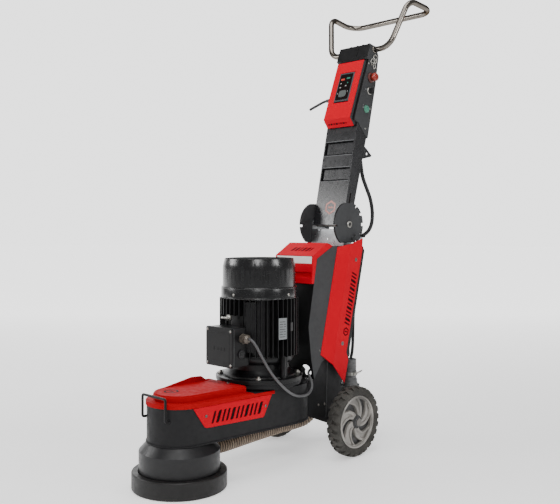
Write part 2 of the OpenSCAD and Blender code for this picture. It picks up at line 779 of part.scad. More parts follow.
module mast() {
    half = mast_w / 2;
    press = 5;
    hook = [[42, 268], [44, 318], [60, 312], [93, 296], [90, 290]];
    color("#4e5052") on_mast() {
        difference() {
            across(mast_side, -half, half);
            across(mast_inner, -half + sheet, half - sheet);
            for (p = mast_panels) translate([-69, -20 - slot_over, p[0]]) cube([138, press + slot_over,
                p[1] - p[0]]);
            cross_bar(-half - 1, half + 1, pin_r + run_gap);
        }
        difference() {
            across(hook, half - sheet, half);
            cross_bar(half - 5, half + 5, 5, 62, 294);
        }
    }
}

module mast_discs() {
    notch_w = lock_d + 1;
    notch_depth = 11;
    color("#3a3b3c") at_pivot() difference() {
        for (s = [0, 1]) mirror([s, 0, 0]) {
            cross_bar(disc_x0, disc_x0 + disc_t, disc_r);
            rotate([-mast_lean, 0, 0]) translate([mast_w / 2, -8, 40]) cube([disc_x0 - mast_w / 2, 30, 30]);
        }
        for (a = [-4 * notch_pitch:notch_pitch:2 * notch_pitch]) rotate([a, 0, 0])
            translate([-120, disc_r - notch_depth, -notch_w / 2]) cube([240, 30, notch_w]);
        translate([-120, -disc_r - 10, -9]) cube([240, 26, 8]);
        translate([-120, -100, 80]) cube([240, 200, 20]);
        translate([-120, -100, -88]) cube([240, 200, 20]);
        cross_bar(-120, 120, pin_r + run_gap);
    }
}

// Route of the conduit from the mast's rear, in an open bow behind the pivot, into the column's top
conduit_route = [[30, 841, 1110], [30, 862, 1102], [30, 876, 1075], [30, 882, 1045], [30, 892, 1010],
    [30, 915, 970], [30, 938, 930], [30, 950, 890], [30, 952, 855], [30, 945, 825], [30, 925, 800],
    [30, 890, 783], [30, 850, 773], [30, 815, 766], [30, 790, 751], [30, 773, 726]];

module mast_conduit() {
    color("#2c2d2e") from_head() swept(through(conduit_route, 3), 14, 8);
}

box_side = [[-10, 720], [-20, 660], [-7, 656], [-42, 412], [-40, 400], [-17, 396.5], [46, 351.5], [53, 355],
    [56, 574], [50, 690], [28, 720]];
box_bore = [[-8, 716], [-14, 664], [-3, 650], [-37, 414], [-16, 401], [44, 358], [49, 361], [52, 574],
    [46, 688],
    [26, 716]];
// The front block that carries the red cover
block_side = [[-7.5, 652], [-20.5, 650], [-56.5, 406], [-27, 382], [-20.2, 386], [-20.2, 398], [-40, 400.5],
    [-42.5, 412]];
block_half = 65.5;
estop_at = [20, 590];
selector_at = [22, 536];
start_at = [20, 462];
lead_at = [0, 510];
control_x = 76;

// A bore or boss through the control box's right side at a [y, z] place of the mast frame
module side_round(at, x0, x1, r) { cross_bar(x0, x1, r, at[0], at[1]); }

module control_box() {
    wall = 3;
    color("#434547") on_mast() difference() {
        union() {
            across(box_side, -control_x, control_x);
            across(block_side, -block_half, block_half);
        }
        across(box_bore, -control_x + wall, control_x - wall);
        across([[-20, 640], [10, 640], [-20, 420], [-50, 420]], -block_half + wall, block_half - wall);
        translate([-37, -70, 474]) cube([74, 60, 130]);
        side_round(estop_at, control_x - 10, control_x + 10, 7.5);
        side_round(selector_at, control_x - 10, control_x + 10, 7.5);
        side_round(start_at, control_x - 10, control_x + 10, 11.4);
        side_round(lead_at, -control_x - 10, -control_x + 10, 8);
    }
}

module control_cover() {
    t = 2.5;
    color("#df1722") on_mast() difference() {
        across([[-20.5, 650], [-20.5 - t, 650.5], [-56.5 - t, 405], [-28.5, 379.5], [-27, 382],
            [-56.5, 406]],
            -block_half, block_half);
        translate([-37, -70, 474]) cube([74, 60, 130]);
    }
}

// The motor's inverter: its body inside the box and its keypad face standing in the cover's window
module drive_unit() {
    gap = 0.5;
    tilt = atan(36 / 245);
    color("#55585e") on_mast() {
        translate([-37 + gap, -39.5, 541]) rotate([tilt * -1, 0, 0]) translate([0, 0,
            -62]) cube([74 - 2 * gap, 46, 124]);
        translate([-50, 10, 470]) cube([100, 28, 130]);
    }
}

module control_bezels() {
    color("#2a2b2c") on_mast() difference() {
        union() {
            side_round(estop_at, control_x, control_x + 8, 18);
            side_round(selector_at, control_x, control_x + 5, 14.5);
            side_round(start_at, control_x, control_x + 4, 14.5);
        }
        side_round(estop_at, control_x - 1, control_x + 20, 7.5);
        side_round(selector_at, control_x - 1, control_x + 20, 7.5);
        side_round(start_at, control_x - 1, control_x + 20, 11.4);
    }
}

module estop_head() {
    color("#c8201c") on_mast() {
        side_round(estop_at, control_x - 8, control_x + 14, 7);
        side_round(estop_at, control_x + 14, control_x + 31, 16.5);
    }
}

module selector_knob() {
    color("#222324") on_mast() {
        side_round(selector_at, control_x - 6, control_x + 5.3, 7);
        side_round(selector_at, control_x + 5.3, control_x + 10, 12);
        translate([control_x + 10, selector_at[0] - 4, selector_at[1] - 12]) cube([12, 8, 24]);
    }
}

module start_button() { color("#3fae7a") on_mast() side_round(start_at, control_x - 5, control_x + 7, 11); }

// Bend radii of the handlebar, from its right-hand root round to the left
bar_bends = [55, 48, 58, 58, 48, 55];

module handlebar() {
    c = bar_corners;
    side_y = c[0][1];
    right = [[control_x, side_y, c[0][2]], c[0], c[1], c[2]];
    left = [for (i = [3:-1:0]) [-right[i][0], right[i][1], right[i][2]]];
    color("#a7a9ab") on_mast() swept(rounded_path(concat(right, left), bar_bends, 6), bar_d, 12);
}

module lead_gland() {
    color("#242526") on_mast() translate([-control_x, lead_at[0],
        lead_at[1]]) rotate([0, -90, 0]) difference() {
        union() {
            translate([0, 0, -5]) cylinder(r = 8, h = 6, $fn = 48);
            cylinder(r = 13, h = 6, $fn = 6);
            translate([0, 0, 6]) cylinder(r = 10.5, h = 10, $fn = 48);
            translate([0, 0, 16]) cylinder(r1 = 9, r2 = 6.4, h = 26, $fn = 48);
        }
        translate([0, 0, -6]) cylinder(r = 5.3, h = 60, $fn = 48);
    }
}

// Route of the short power lead out of the control box's left side, about the head's axis
lead_route = [[-80, 845.4, 1323.9], [-101, 845.4, 1323.9], [-121, 845.4, 1323.7], [-141, 845.4, 1321.5],
    [-160, 845.4, 1317], [-178, 845.4, 1311], [-194, 845.4, 1305], [-208, 845.4, 1299]];

module power_lead() { color("#232324") from_head() swept(through(lead_route, 2), 10.4, 8); }

// ---------- dust extraction ----------

port_x = 50;
port_y = 785;
port_top = 312;
elbow_z = 195;
elbow_r = 42;

// Route of the dust hose, from the shroud's outlet, under the housing and over the axle to the elbow
hose_route = [[0, 145, 94], [0, 190, 94], [0, 250, 97], [0, 320, 101], [2, 390, 105], [6, 450, 109],
    [14, 510, 112], [24, 555, 120], [32, 592, 145], [38, 625, 166], [44, 660, 170], [49, 700, 159],
    [50, 742, 153]];

module dust_hose() {
    color("#7c6c5c") from_head() swept(through(hose_route, 3), hose_d, 12);
}

module vacuum_port() {
    wall = 3;
    r = port_d / 2;
    color("#8b8c8b") from_head() difference() {
        union() {
            translate([port_x, port_y, elbow_z]) cylinder(r = r, h = port_top - elbow_z, $fn = 64);
            translate([port_x, port_y, elbow_z - 7]) cylinder(r = r + 14, h = 27, $fn = 64);
            translate([port_x, port_y - elbow_r, elbow_z]) rotate([90, 0, 90]) rotate([0, 0, -90])
                rotate_extrude(angle = 90, $fn = 64) translate([elbow_r, 0]) circle(r = r, $fn = 64);
        }
        translate([port_x, port_y, elbow_z]) cylinder(r = r - wall, h = 200, $fn = 64);
    }
}

module port_clamp() {
    z = 252;
    r = port_d / 2;
    color("#7a7c7e") from_head() translate([port_x, port_y, z]) {
        ring(r + 2.5, r, 12);
        translate([r + 1, -5, 0]) cube([12, 10, 12]);
        translate([r + 6, 3, 3]) cube([5, 24, 6]);
    }
}

floor_skirt();
dust_shroud();
grinding_plate();
diamond_segments();
spindle();
spindle_housing();
bearings();
spindle_pulley();
motor_pulley();
drive_belt();
belt_housing();
belt_lid();
side_badges();
case_screws();
front_guard();
motor_adapter();
motor_flange();
flange_bolts();
motor_body();
stator();
end_shield();
rotor_shaft();
cooling_fan();
fan_cowl();
motor_screws();
terminal_box();
terminal_lid();
cable_gland();
blank_plug();
motor_cable();
chassis_frame();
axle();
tyre_left();
tyre_right();
rim_left();
rim_right();
column();
cover_left();
cover_right();
lamp_housing();
lamp_lens();
pivot_bracket();
pivot_pin();
lock_bar();
mast();
mast_discs();
mast_conduit();
control_box();
control_cover();
drive_unit();
control_bezels();
estop_head();
selector_knob();
start_button();
handlebar();
lead_gland();
power_lead();
dust_hose();
vacuum_port();
port_clamp();
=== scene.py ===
"""The looks of a walk-behind concrete grinder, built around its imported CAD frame.

Shapes are drawn in millimetres, in the frame that suits them (head, motor, mast or wheel), and placed in the
row frame. The camera, the lamps and the materials' distances are in metres.
"""

import math

import bmesh
import bpy
from mathutils import Matrix, Vector


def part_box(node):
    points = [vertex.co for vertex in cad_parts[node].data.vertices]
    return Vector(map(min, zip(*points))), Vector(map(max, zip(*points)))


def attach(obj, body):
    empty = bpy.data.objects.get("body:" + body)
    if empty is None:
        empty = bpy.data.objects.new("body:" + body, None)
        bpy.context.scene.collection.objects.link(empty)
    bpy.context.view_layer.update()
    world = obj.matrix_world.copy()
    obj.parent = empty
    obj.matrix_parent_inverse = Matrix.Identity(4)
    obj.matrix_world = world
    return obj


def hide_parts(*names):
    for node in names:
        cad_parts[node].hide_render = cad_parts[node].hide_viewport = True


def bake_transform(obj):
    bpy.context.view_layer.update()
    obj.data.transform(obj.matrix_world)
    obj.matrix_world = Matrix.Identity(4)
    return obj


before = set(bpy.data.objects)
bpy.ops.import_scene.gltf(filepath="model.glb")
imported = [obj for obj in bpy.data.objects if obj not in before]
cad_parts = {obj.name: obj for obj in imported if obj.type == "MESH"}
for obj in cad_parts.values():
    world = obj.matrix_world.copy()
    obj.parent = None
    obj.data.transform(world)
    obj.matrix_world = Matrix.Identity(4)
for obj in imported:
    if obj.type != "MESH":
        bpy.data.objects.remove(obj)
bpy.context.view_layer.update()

# ---------- frames, placed by the CAD nodes ----------

MM = 0.001
LEAN = 12.5  # degrees the mast leans back at rest


def middle(node):
    low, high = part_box(node)
    return (low + high) / 2 / MM


def at(x=0.0, y=0.0, z=0.0):
    return Matrix.Translation((x, y, z))


def turn(degrees, axis):
    return Matrix.Rotation(math.radians(degrees), 4, axis)


HEAD = at(0, middle("floor_skirt").y)
MOTOR = at(0, middle("fan_cowl").y)
PIVOT = at(0, middle("pivot_pin").y, middle("pivot_pin").z)
MAST = PIVOT @ turn(-LEAN, "X")
BOTH_SIDES = (Matrix(), Matrix.Scale(-1, 4, (1, 0, 0)))  # the right side as drawn, the left side mirrored
ALONG_X = turn(90, "Y")  # local z becomes +X
SIDEWAYS = Matrix(((0, 0, 1, 0), (1, 0, 0, 0), (0, 1, 0, 0), (0, 0, 0, 1)))  # local x, y, z become +Y, +Z, +X
FACING_FRONT = turn(90, "X")  # local x, y, z become +X, +Z, -Y
MAST_FRONT = MAST @ at(0, -20) @ FACING_FRONT

# ---------- camera ----------

CAMERA_AT = (1.94155, HEAD.translation.y * MM - 1.54041, 0.8138)
CAMERA_HEADING = 44.2327  # degrees from +Y towards -X
CAMERA_LENS = 50.13
CAMERA_SHIFT_Y = -0.0435


def add_object(name, data):
    obj = bpy.data.objects.new(name, data)
    bpy.context.scene.collection.objects.link(obj)
    return obj


def make_camera():
    data = bpy.data.cameras.new("camera")
    data.lens = CAMERA_LENS
    data.shift_y = CAMERA_SHIFT_Y
    camera = add_object("camera", data)
    camera.location = CAMERA_AT
    camera.rotation_euler = (math.radians(90), 0, math.radians(CAMERA_HEADING))
    bpy.context.scene.camera = camera


make_camera()

# ---------- materials ----------


class Nodes:
    """A material's node tree, with short calls for its nodes. A value may be another node's output."""

    def __init__(self, name):
        self.mat = bpy.data.materials.new(name)
        self.mat.use_nodes = True
        self.tree = self.mat.node_tree
        self.shader = self.tree.nodes["Principled BSDF"]
        self.coord = self.tree.nodes.new("ShaderNodeTexCoord").outputs["Object"]

    def put(self, node, inputs):
        for name, value in inputs.items():
            if isinstance(value, bpy.types.NodeSocket):
                self.tree.links.new(value, node.inputs[name])
            else:
                node.inputs[name].default_value = value

    def node(self, kind, out, inputs, **settings):
        """Makes a node with its settings and inputs, and gives the output named out."""
        n = self.tree.nodes.new("ShaderNode" + kind)
        for name, value in settings.items():
            setattr(n, name, value)
        self.put(n, inputs)
        return n.outputs[out]

    def noise(self, scale, detail=4.0, rough=0.55, stretch=None):
        where = self.coord
        if stretch:
            where = self.node("Mapping", "Vector", {"Vector": where, "Scale": stretch})
        inputs = {"Vector": where, "Scale": scale, "Detail": detail, "Roughness": rough}
        return self.node("TexNoise", "Fac", inputs)

    def ramp(self, value, low, high, out_low=0.0, out_high=1.0):
        ends = {"From Min": low, "From Max": high, "To Min": out_low, "To Max": out_high}
        return self.node("MapRange", "Result", {"Value": value, **ends})

    def mix(self, factor, a, b):
        """Colour a where factor is 0 and b where it is 1."""
        a, b = ((*c, 1.0) if isinstance(c, tuple) else c for c in (a, b))
        return self.node("Mix", "Result", {"Factor": factor, "A": a, "B": b}, data_type="RGBA")

    def times(self, a, b):
        return self.node("Math", 0, {0: a, 1: b}, operation="MULTIPLY")

    def bump(self, height, distance, strength, under=None):
        inputs = {"Height": height, "Distance": distance, "Strength": strength}
        if under:
            inputs["Normal"] = under
        return self.node("Bump", "Normal", inputs)

    def crevice(self, distance):
        """0 deep in a corner or groove, 1 in the open."""
        return self.node("AmbientOcclusion", "AO", {"Distance": distance}, samples=6)


def shade(colour, factor):
    return tuple(min(c * factor, 1.0) for c in colour)


DUST = (0.30, 0.28, 0.25)
DUST_CORNER = 0.02  # how far from a corner dust gathers, in metres
# Scales of the noise that all finishes share
MOTTLE_SCALE = 9.0
DUST_SCALE = 34.0
GLOSS_SCALE = 60.0
SCRATCH_SCALE = 60.0
GRAINS_PER_WAVE = 7


def finish(name, colour, rough, metal=0.0, grain=1500.0, grain_bump=0.0002, wave_bump=0.0, mottle=0.12,
           dust=0.0, scratch=None, coat=0.0, specular=0.5):
    """A surface with colour mottling, fine grain and uneven gloss and, if asked, dust and brushed scratches.

    grain is a noise scale, the bumps are heights in metres, and scratch stretches the scratches' noise.
    """
    t = Nodes(name)
    broad = t.noise(MOTTLE_SCALE, 5.0)
    fine = t.noise(grain, 3.0, 0.6)
    base = t.mix(t.ramp(broad, 0.3, 0.7), shade(colour, 1 - mottle), shade(colour, 1 + mottle))
    if dust:
        patch = t.ramp(t.noise(DUST_SCALE, 6.0, 0.7), 0.42, 0.75)
        corner = t.ramp(t.crevice(DUST_CORNER), 0.35, 0.95, 1.0, 0.25)
        base = t.mix(t.times(t.times(patch, corner), dust), base, DUST)
    normal = t.bump(fine, grain_bump, 0.5)
    if wave_bump:
        normal = t.bump(t.noise(grain / GRAINS_PER_WAVE, 2.0), wave_bump, 0.4, normal)
    if scratch:
        normal = t.bump(t.noise(SCRATCH_SCALE, 5.0, 0.8, scratch), 0.0002, 0.35, normal)
    gloss = t.ramp(t.noise(GLOSS_SCALE, 2.0, 0.6), 0.3, 0.75, rough * 0.85, rough * 1.25)
    t.put(t.shader, {"Base Color": base, "Roughness": gloss, "Normal": normal, "Metallic": metal,
                     "Coat Weight": coat, "Coat Roughness": 0.12, "Specular IOR Level": specular})
    return t.mat


black_paint = finish("black_paint", (0.006, 0.006, 0.0065), 0.40, grain=1400, wave_bump=0.00005, dust=0.04,
                     specular=0.22)
matt_black = finish("matt_black", (0.004, 0.004, 0.0045), 0.85, grain=1400, specular=0.03)
mast_paint = finish("mast_paint", (0.010, 0.010, 0.0115), 0.27, grain=700, grain_bump=0.000008, dust=0.02,
                    specular=0.8)
motor_paint = finish("motor_paint", (0.0045, 0.0045, 0.005), 0.34, grain=700, grain_bump=0.0002,
                     wave_bump=0.0002, dust=0.03, specular=0.26)
cowl_paint = finish("cowl_paint", (0.005, 0.005, 0.0055), 0.24, grain=1200, grain_bump=0.00002, dust=0.01,
                    specular=0.6)
housing_paint = finish("housing_paint", (0.011, 0.011, 0.012), 0.5, wave_bump=0.0001, dust=0.04, specular=0.2)
panel_paint = finish("panel_paint", (0.044, 0.045, 0.047), 0.55, wave_bump=0.0001, dust=0.03, specular=0.2)
panel_light = finish("panel_light", (0.16, 0.165, 0.17), 0.5)
red_paint = finish("red_paint", (0.55, 0.0, 0.013), 0.42, grain_bump=0.00005, mottle=0.04, specular=0.04)
lid_paint = finish("lid_paint", (0.37, 0.002, 0.006), 0.6, grain_bump=0.00005, mottle=0.04, specular=0.05)
steel = finish("steel", (0.62, 0.62, 0.61), 0.30, 1.0, grain=2500, scratch=(1.0, 1.0, 30.0))
stainless = finish("stainless", (0.19, 0.172, 0.152), 0.20, 1.0, grain=2200, grain_bump=0.00004, mottle=0.06)
bracket_steel = finish("bracket_steel", (0.44, 0.45, 0.46), 0.30, 1.0, grain=2200, mottle=0.05,
                       scratch=(1.0, 1.0, 18.0))
zinc = finish("zinc", (0.42, 0.41, 0.38), 0.38, 1.0, grain=2500, grain_bump=0.00005, mottle=0.15)
dull_zinc = finish("dull_zinc", (0.17, 0.16, 0.15), 0.42, 1.0, grain=2500, grain_bump=0.00005, mottle=0.2)
iron = finish("iron", (0.16, 0.16, 0.165), 0.5, 0.9, grain=500, grain_bump=0.0005)
skirt_rubber = finish("skirt_rubber", (0.008, 0.0075, 0.0075), 0.44, grain=800, wave_bump=0.0003, dust=0.06,
                      specular=0.3)
drum_paint = finish("drum_paint", (0.008, 0.008, 0.009), 0.38, grain=1200, wave_bump=0.0001, dust=0.05,
                    specular=0.35)
tyre_rubber = finish("tyre_rubber", (0.045, 0.043, 0.039), 0.8, grain=500, grain_bump=0.0006, mottle=0.35,
                     dust=0.32, specular=0.2)
rim_plastic = finish("rim_plastic", (0.27, 0.255, 0.235), 0.38, 0.25, grain=900, mottle=0.6, dust=0.3)
rim_dark = finish("rim_dark", (0.020, 0.020, 0.020), 0.5, grain=900, mottle=0.2, dust=0.15)
black_plastic = finish("black_plastic", (0.012, 0.012, 0.013), 0.4, grain=1200)
grey_plastic = finish("grey_plastic", (0.055, 0.058, 0.064), 0.42, grain=1600)
port_plastic = finish("port_plastic", (0.10, 0.102, 0.104), 0.48, grain=1000, mottle=0.2, dust=0.3)
cable_grey = finish("cable_grey", (0.075, 0.075, 0.078), 0.40)
cable_black = finish("cable_black", (0.008, 0.008, 0.009), 0.42, specular=0.35)
white_print = finish("white_print", (0.36, 0.36, 0.35), 0.5)
dark_print = finish("dark_print", (0.006, 0.003, 0.003), 0.6, specular=0.06)
red_print = finish("red_print", (0.07, 0.0, 0.002), 0.6, specular=0.06)
# A red emblem's colour paled towards pink: painted highlight of the glare on the mast's lower front.
emblem_print_with_painted_glare = finish("emblem_print_with_painted_glare", (0.52, 0.25, 0.22), 0.5)
display_glass = finish("display_glass", (0.085, 0.095, 0.092), 0.18, mottle=0.05)
key_red = finish("key_red", (0.45, 0.04, 0.025), 0.38, grain=900)
key_green = finish("key_green", (0.02, 0.18, 0.12), 0.38, grain=900)
estop_red = finish("estop_red", (0.27, 0.018, 0.010), 0.28, coat=0.3, grain=900)
collar_red = finish("collar_red", (0.09, 0.012, 0.008), 0.4, grain=900)
start_green = finish("start_green", (0.07, 0.27, 0.18), 0.3, coat=0.3, grain=900)
gland_bronze = finish("gland_bronze", (0.10, 0.085, 0.07), 0.36, 0.3, mottle=0.3)
lens_plastic = finish("lens_plastic", (0.88, 0.87, 0.84), 0.25, mottle=0.03, grain=900)
plate_silver = finish("plate_silver", (0.22, 0.235, 0.24), 0.45, 0.3, mottle=0.15)
copper = finish("copper", (0.42, 0.20, 0.09), 0.4, 0.6, grain=900)
diamond_metal = finish("diamond_metal", (0.20, 0.17, 0.13), 0.8, 0.4, grain=300, grain_bump=0.001)
EDGE_TINT = (0.12, 0.11, 0.10, 1.0)  # darkens a metal where it is seen edge on
for metal in (stainless, bracket_steel):
    metal.node_tree.nodes["Principled BSDF"].inputs["Specular Tint"].default_value = EDGE_TINT


def hose_finish():
    """Tan ribs, with painted shade darkening the grooves."""
    t = Nodes("hose_plastic")
    painted_groove_shade = t.ramp(t.crevice(0.009), 0.55, 0.95)
    tan = t.mix(t.ramp(t.noise(40.0, 5.0), 0.3, 0.7), (0.20, 0.140, 0.092), (0.33, 0.25, 0.175))
    # The near-black colour where the crevice mask is low is painted shade in the grooves.
    t.put(t.shader, {"Base Color": t.mix(painted_groove_shade, (0.022, 0.014, 0.009), tan),
                     "Roughness": t.ramp(t.noise(90.0, 4.0), 0.3, 0.7, 0.42, 0.6),
                     "Normal": t.bump(t.noise(900.0, 3.0), 0.0003, 0.5)})
    return t.mat


hose_plastic = hose_finish()

# ---------- mesh building ----------


def polar(r, degrees):
    """The point x, y at distance r and at an angle."""
    a = math.radians(degrees)
    return r * math.cos(a), r * math.sin(a)


class Shape:
    """Gathers the solids of one piece, in millimetres."""

    def __init__(self, place=None):
        self.bm = bmesh.new()
        self.place = place or Matrix()

    def ring(self, points, place=Matrix()):
        m = self.place @ place
        return [self.bm.verts.new(m @ Vector(p)) for p in points]

    def skin(self, rings, caps=True):
        """Joins each ring of points to the next one, and closes both ends if caps is true."""
        n = len(rings[0])
        for a, b in zip(rings, rings[1:]):
            for k in range(n):
                j = (k + 1) % n
                self.bm.faces.new((a[k], a[j], b[j], b[k]))
        if caps:
            self.bm.faces.new(list(reversed(rings[0])))
            self.bm.faces.new(rings[-1])

    def prism(self, outline, low, high, place=Matrix()):
        self.skin([self.ring([(x, y, z) for x, y in outline], place) for z in (low, high)])
        return self

    def turned(self, profile, place, steps):
        around = [polar(1, 360 * k / steps) for k in range(steps)]
        return [self.ring([(r * c, r * s, z) for c, s in around], place) for r, z in profile]

    def lathe(self, profile, place=Matrix(), steps=64):
        """A solid with this (r, z) profile about the local z axis."""
        self.skin(self.turned(profile, place, steps))
        return self

    def hoop(self, section, place=Matrix(), steps=64):
        """A ring with this (r, z) cross-section about the local z axis."""
        rings = self.turned(section, place, steps)
        self.skin(rings + rings[:1], caps=False)
        return self

    def tube(self, path, radius, sides=16):
        """A round tube along a path. radius is a number, or one number for each point of the path."""
        path = [Vector(p) for p in path]
        n = len(path)
        radii = radius if isinstance(radius, list) else [radius] * n
        ahead = [(path[min(i + 1, n - 1)] - path[max(i - 1, 0)]).normalized() for i in range(n)]
        side = Vector((0, 0, 1)) if abs(ahead[0].z) < 0.9 else Vector((1, 0, 0))
        rings = []
        for p, d, r in zip(path, ahead, radii):
            side = (side - side.dot(d) * d).normalized()
            other = d.cross(side)
            around = [polar(r, 360 * k / sides) for k in range(sides)]
            rings.append(self.ring([p + c * side + s * other for c, s in around]))
        self.skin(rings)
        return self

    def done(self, name, body, material, slot, replaces=(), bevel=0, sharp=32):
        """Makes the object, in metres, and rides it on its CAD body, if it has one."""
        bmesh.ops.recalc_face_normals(self.bm, faces=self.bm.faces)
        mesh = bpy.data.meshes.new(name)
        self.bm.to_mesh(mesh)
        self.bm.free()
        mesh.transform(Matrix.Scale(MM, 4))
        mesh.materials.append(material)
        obj = add_object(name, mesh)
        soften(obj, bevel, sharp)
        if body:
            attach(obj, body)
        if replaces:
            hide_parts(*replaces)
        return obj


SAME_POINT = 0.00001  # vertices closer than this are one
FLAT_ANGLE = 0.6  # degrees between faces that become one
CAD_SHARP = 28  # degrees from which an edge of a CAD node is sharp


def soften(obj, bevel, sharp):
    """Rounds the object's sharp edges by bevel millimetres and shades the rest smooth."""
    obj.data.shade_smooth()
    if bevel:
        m = obj.modifiers.new("edges", "BEVEL")
        m.width = bevel * MM
        m.segments = 2
        m.limit_method = "ANGLE"
        m.angle_limit = math.radians(sharp)
        m.harden_normals = True
    else:
        obj.data.set_sharp_from_angle(angle=math.radians(sharp))


def dress(node, material, bevel, second=None, choose=None):
    """Gives a CAD node its material and rounds its edges. choose(normal) picks the faces of the second."""
    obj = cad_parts[node]
    mesh = obj.data
    if "custom_normal" in mesh.attributes:
        mesh.attributes.remove(mesh.attributes["custom_normal"])
    mesh.materials.clear()
    mesh.materials.append(material)
    if second:
        mesh.materials.append(second)
        for face in mesh.polygons:
            face.material_index = 1 if choose(face.normal) else 0
    weld = obj.modifiers.new("weld", "WELD")
    weld.merge_threshold = SAME_POINT
    flat = obj.modifiers.new("flat", "DECIMATE")
    flat.decimate_type = "DISSOLVE"
    flat.angle_limit = math.radians(FLAT_ANGLE)
    flat.delimit = {"MATERIAL"}
    soften(obj, bevel, CAD_SHARP)


def islands(node):
    """The separate solids of a CAD node, each as its lowest and highest corner in millimetres."""
    bm = bmesh.new()
    bm.from_mesh(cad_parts[node].data)
    bmesh.ops.remove_doubles(bm, verts=bm.verts, dist=SAME_POINT)
    left = set(bm.verts)
    found = []
    while left:
        todo = [left.pop()]
        group = []
        while todo:
            v = todo.pop()
            group.append(v.co / MM)
            for e in v.link_edges:
                w = e.other_vert(v)
                if w in left:
                    left.remove(w)
                    todo.append(w)
        low = Vector([min(p[i] for p in group) for i in range(3)])
        high = Vector([max(p[i] for p in group) for i in range(3)])
        found.append((low, high))
    bm.free()
    return sorted(found, key=lambda b: tuple(b[0]))


def arc(cx, cy, r, a, b, n):
    """Points on a circle about cx, cy, from angle a to b in n steps."""
    return [(cx + x, cy + y) for x, y in (polar(r, a + (b - a) * i / n) for i in range(n + 1))]


def hexagon_of(r):
    return [polar(r, 60 * k) for k in range(6)]


def rect(x0, y0, x1, y1):
    return [(x0, y0), (x1, y0), (x1, y1), (x0, y1)]


def rounded_box(x0, y0, x1, y1, r, n=5):
    return (arc(x1 - r, y1 - r, r, 0, 90, n) + arc(x0 + r, y1 - r, r, 90, 180, n)
            + arc(x0 + r, y0 + r, r, 180, 270, n) + arc(x1 - r, y0 + r, r, 270, 360, n))


def rounded_path(points, radii, n):
    """The path through points, with each inner corner rounded to its own radius."""
    pts = [Vector(p) for p in points]
    out = [pts[0]]
    for a, b, c, r in zip(pts, pts[1:], pts[2:], radii):
        u, v = (a - b).normalized(), (c - b).normalized()
        half = u.angle(v) / 2
        centre = b + (u + v).normalized() * r / math.sin(half)
        e = (b + u * r / math.tan(half) - centre).normalized()
        for k in range(n + 1):
            t = (math.pi - 2 * half) * k / n
            out.append(centre + r * (math.cos(t) * e - math.sin(t) * u))
    out.append(pts[-1])
    return out


def through(points, n):
    """A smooth curve through given points, with n steps between neighbours."""
    p = [Vector(q) for q in points]
    out = []
    for i in range(len(p) - 1):
        a, b, c, d = p[max(i - 1, 0)], p[i], p[i + 1], p[min(i + 2, len(p) - 1)]
        for k in range(n):
            t = k / n
            out.append(0.5 * (2 * b + (c - a) * t + (2 * a - 5 * b + 4 * c - d) * t * t
                              + (3 * b - a - 3 * c + d) * t * t * t))
    return out + [p[-1]]


def resample(path, step):
    """The same path with points a fixed step apart."""
    out, left = [path[0]], step
    for a, b in zip(path, path[1:]):
        length = (b - a).length
        while left <= length:
            out.append(a.lerp(b, left / length))
            left += step
        left -= length
    return out + [path[-1]]


# ---------- cords and tubes ----------

LEAD_D = 10.4
LEAD_ROUTE = [(-80, 845.4, 1323.9), (-101, 845.4, 1323.9), (-121, 845.4, 1323.7), (-134, 845.4, 1321.6),
              (-150, 845.4, 1317.2), (-170, 845.4, 1310.8), (-190, 845.4, 1304.4), (-208, 845.4, 1298.6)]
CORE_R = 1.3
CORE_OFFSET = 2.2  # of each of the three cores from the lead's middle


def power_lead():
    points = through(LEAD_ROUTE, 2)
    data = bpy.data.curves.new("mains_lead", "CURVE")
    data.dimensions = "3D"
    data.bevel_depth = LEAD_D / 2 * MM
    data.bevel_resolution = 6
    data.use_fill_caps = True
    line = data.splines.new("POLY")
    line.points.add(len(points) - 1)
    for target, p in zip(line.points, points):
        target.co = (*(HEAD @ p * MM), 1)
    data.materials.append(cable_black)
    obj = add_object("mains_lead", data)
    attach(obj, "mast")
    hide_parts("power_lead")
    core = Shape(at(*(HEAD @ Vector(LEAD_ROUTE[-1]))) @ turn(-90, "Y"))
    for degrees in (0, 120, 240):
        core.lathe([(CORE_R, -2), (CORE_R, 2.5)], at(*polar(CORE_OFFSET, degrees)), 16)
    cores = core.done("lead_cores", "mast", copper, "cable_black")


power_lead()

MOTOR_CABLE_D = 9
MOTOR_CABLE_ROUTE = [(84, 213, 448), (101, 213, 448), (117, 217, 435), (131, 230, 400), (145, 250, 356),
                     (155, 272, 322), (158, 305, 290), (152, 346, 263), (142, 386, 246), (134, 424, 238),
                     (122, 468, 236), (111, 499, 250), (99, 511, 272), (78, 519, 294), (66, 542, 304),
                     (60, 572, 310), (58, 600, 320)]


def motor_cable():
    shape = Shape(HEAD).tube(through(MOTOR_CABLE_ROUTE, 8), MOTOR_CABLE_D / 2, 20)
    shape.done("motor_lead", "frame", cable_grey, "cable_grey", ["motor_cable"])


motor_cable()

CONDUIT_ROUTE = [(30, 841, 1110), (30, 862, 1102), (30, 876, 1075), (30, 882, 1045), (30, 892, 1010),
                 (30, 915, 970), (30, 938, 930), (30, 950, 890), (30, 952, 855), (30, 945, 825),
                 (30, 925, 800), (30, 890, 783), (30, 850, 773), (30, 815, 766), (30, 790, 751),
                 (30, 773, 726)]
CONDUIT_R = 7.8
CONDUIT_RIB_DEPTHS = (0.0, 0.0, 0.5, 0.5)  # how deep each step of the path lies under the ribs
CONDUIT_STEP = 1.4


def ribbed(route, smooth, step, radius, depths):
    """The route in short steps, with a radius for each, which repeats the depths as ribs."""
    path = resample(through(route, smooth), step)
    return path, [radius - depths[i % len(depths)] for i in range(len(path))]


def mast_conduit():
    path, radii = ribbed(CONDUIT_ROUTE, 8, CONDUIT_STEP, CONDUIT_R, CONDUIT_RIB_DEPTHS)
    shape = Shape(HEAD).tube(path, radii, 14)
    obj = shape.done("flexible_conduit", None, cable_black, "cable_black", ["mast_conduit"])
    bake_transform(obj)


mast_conduit()

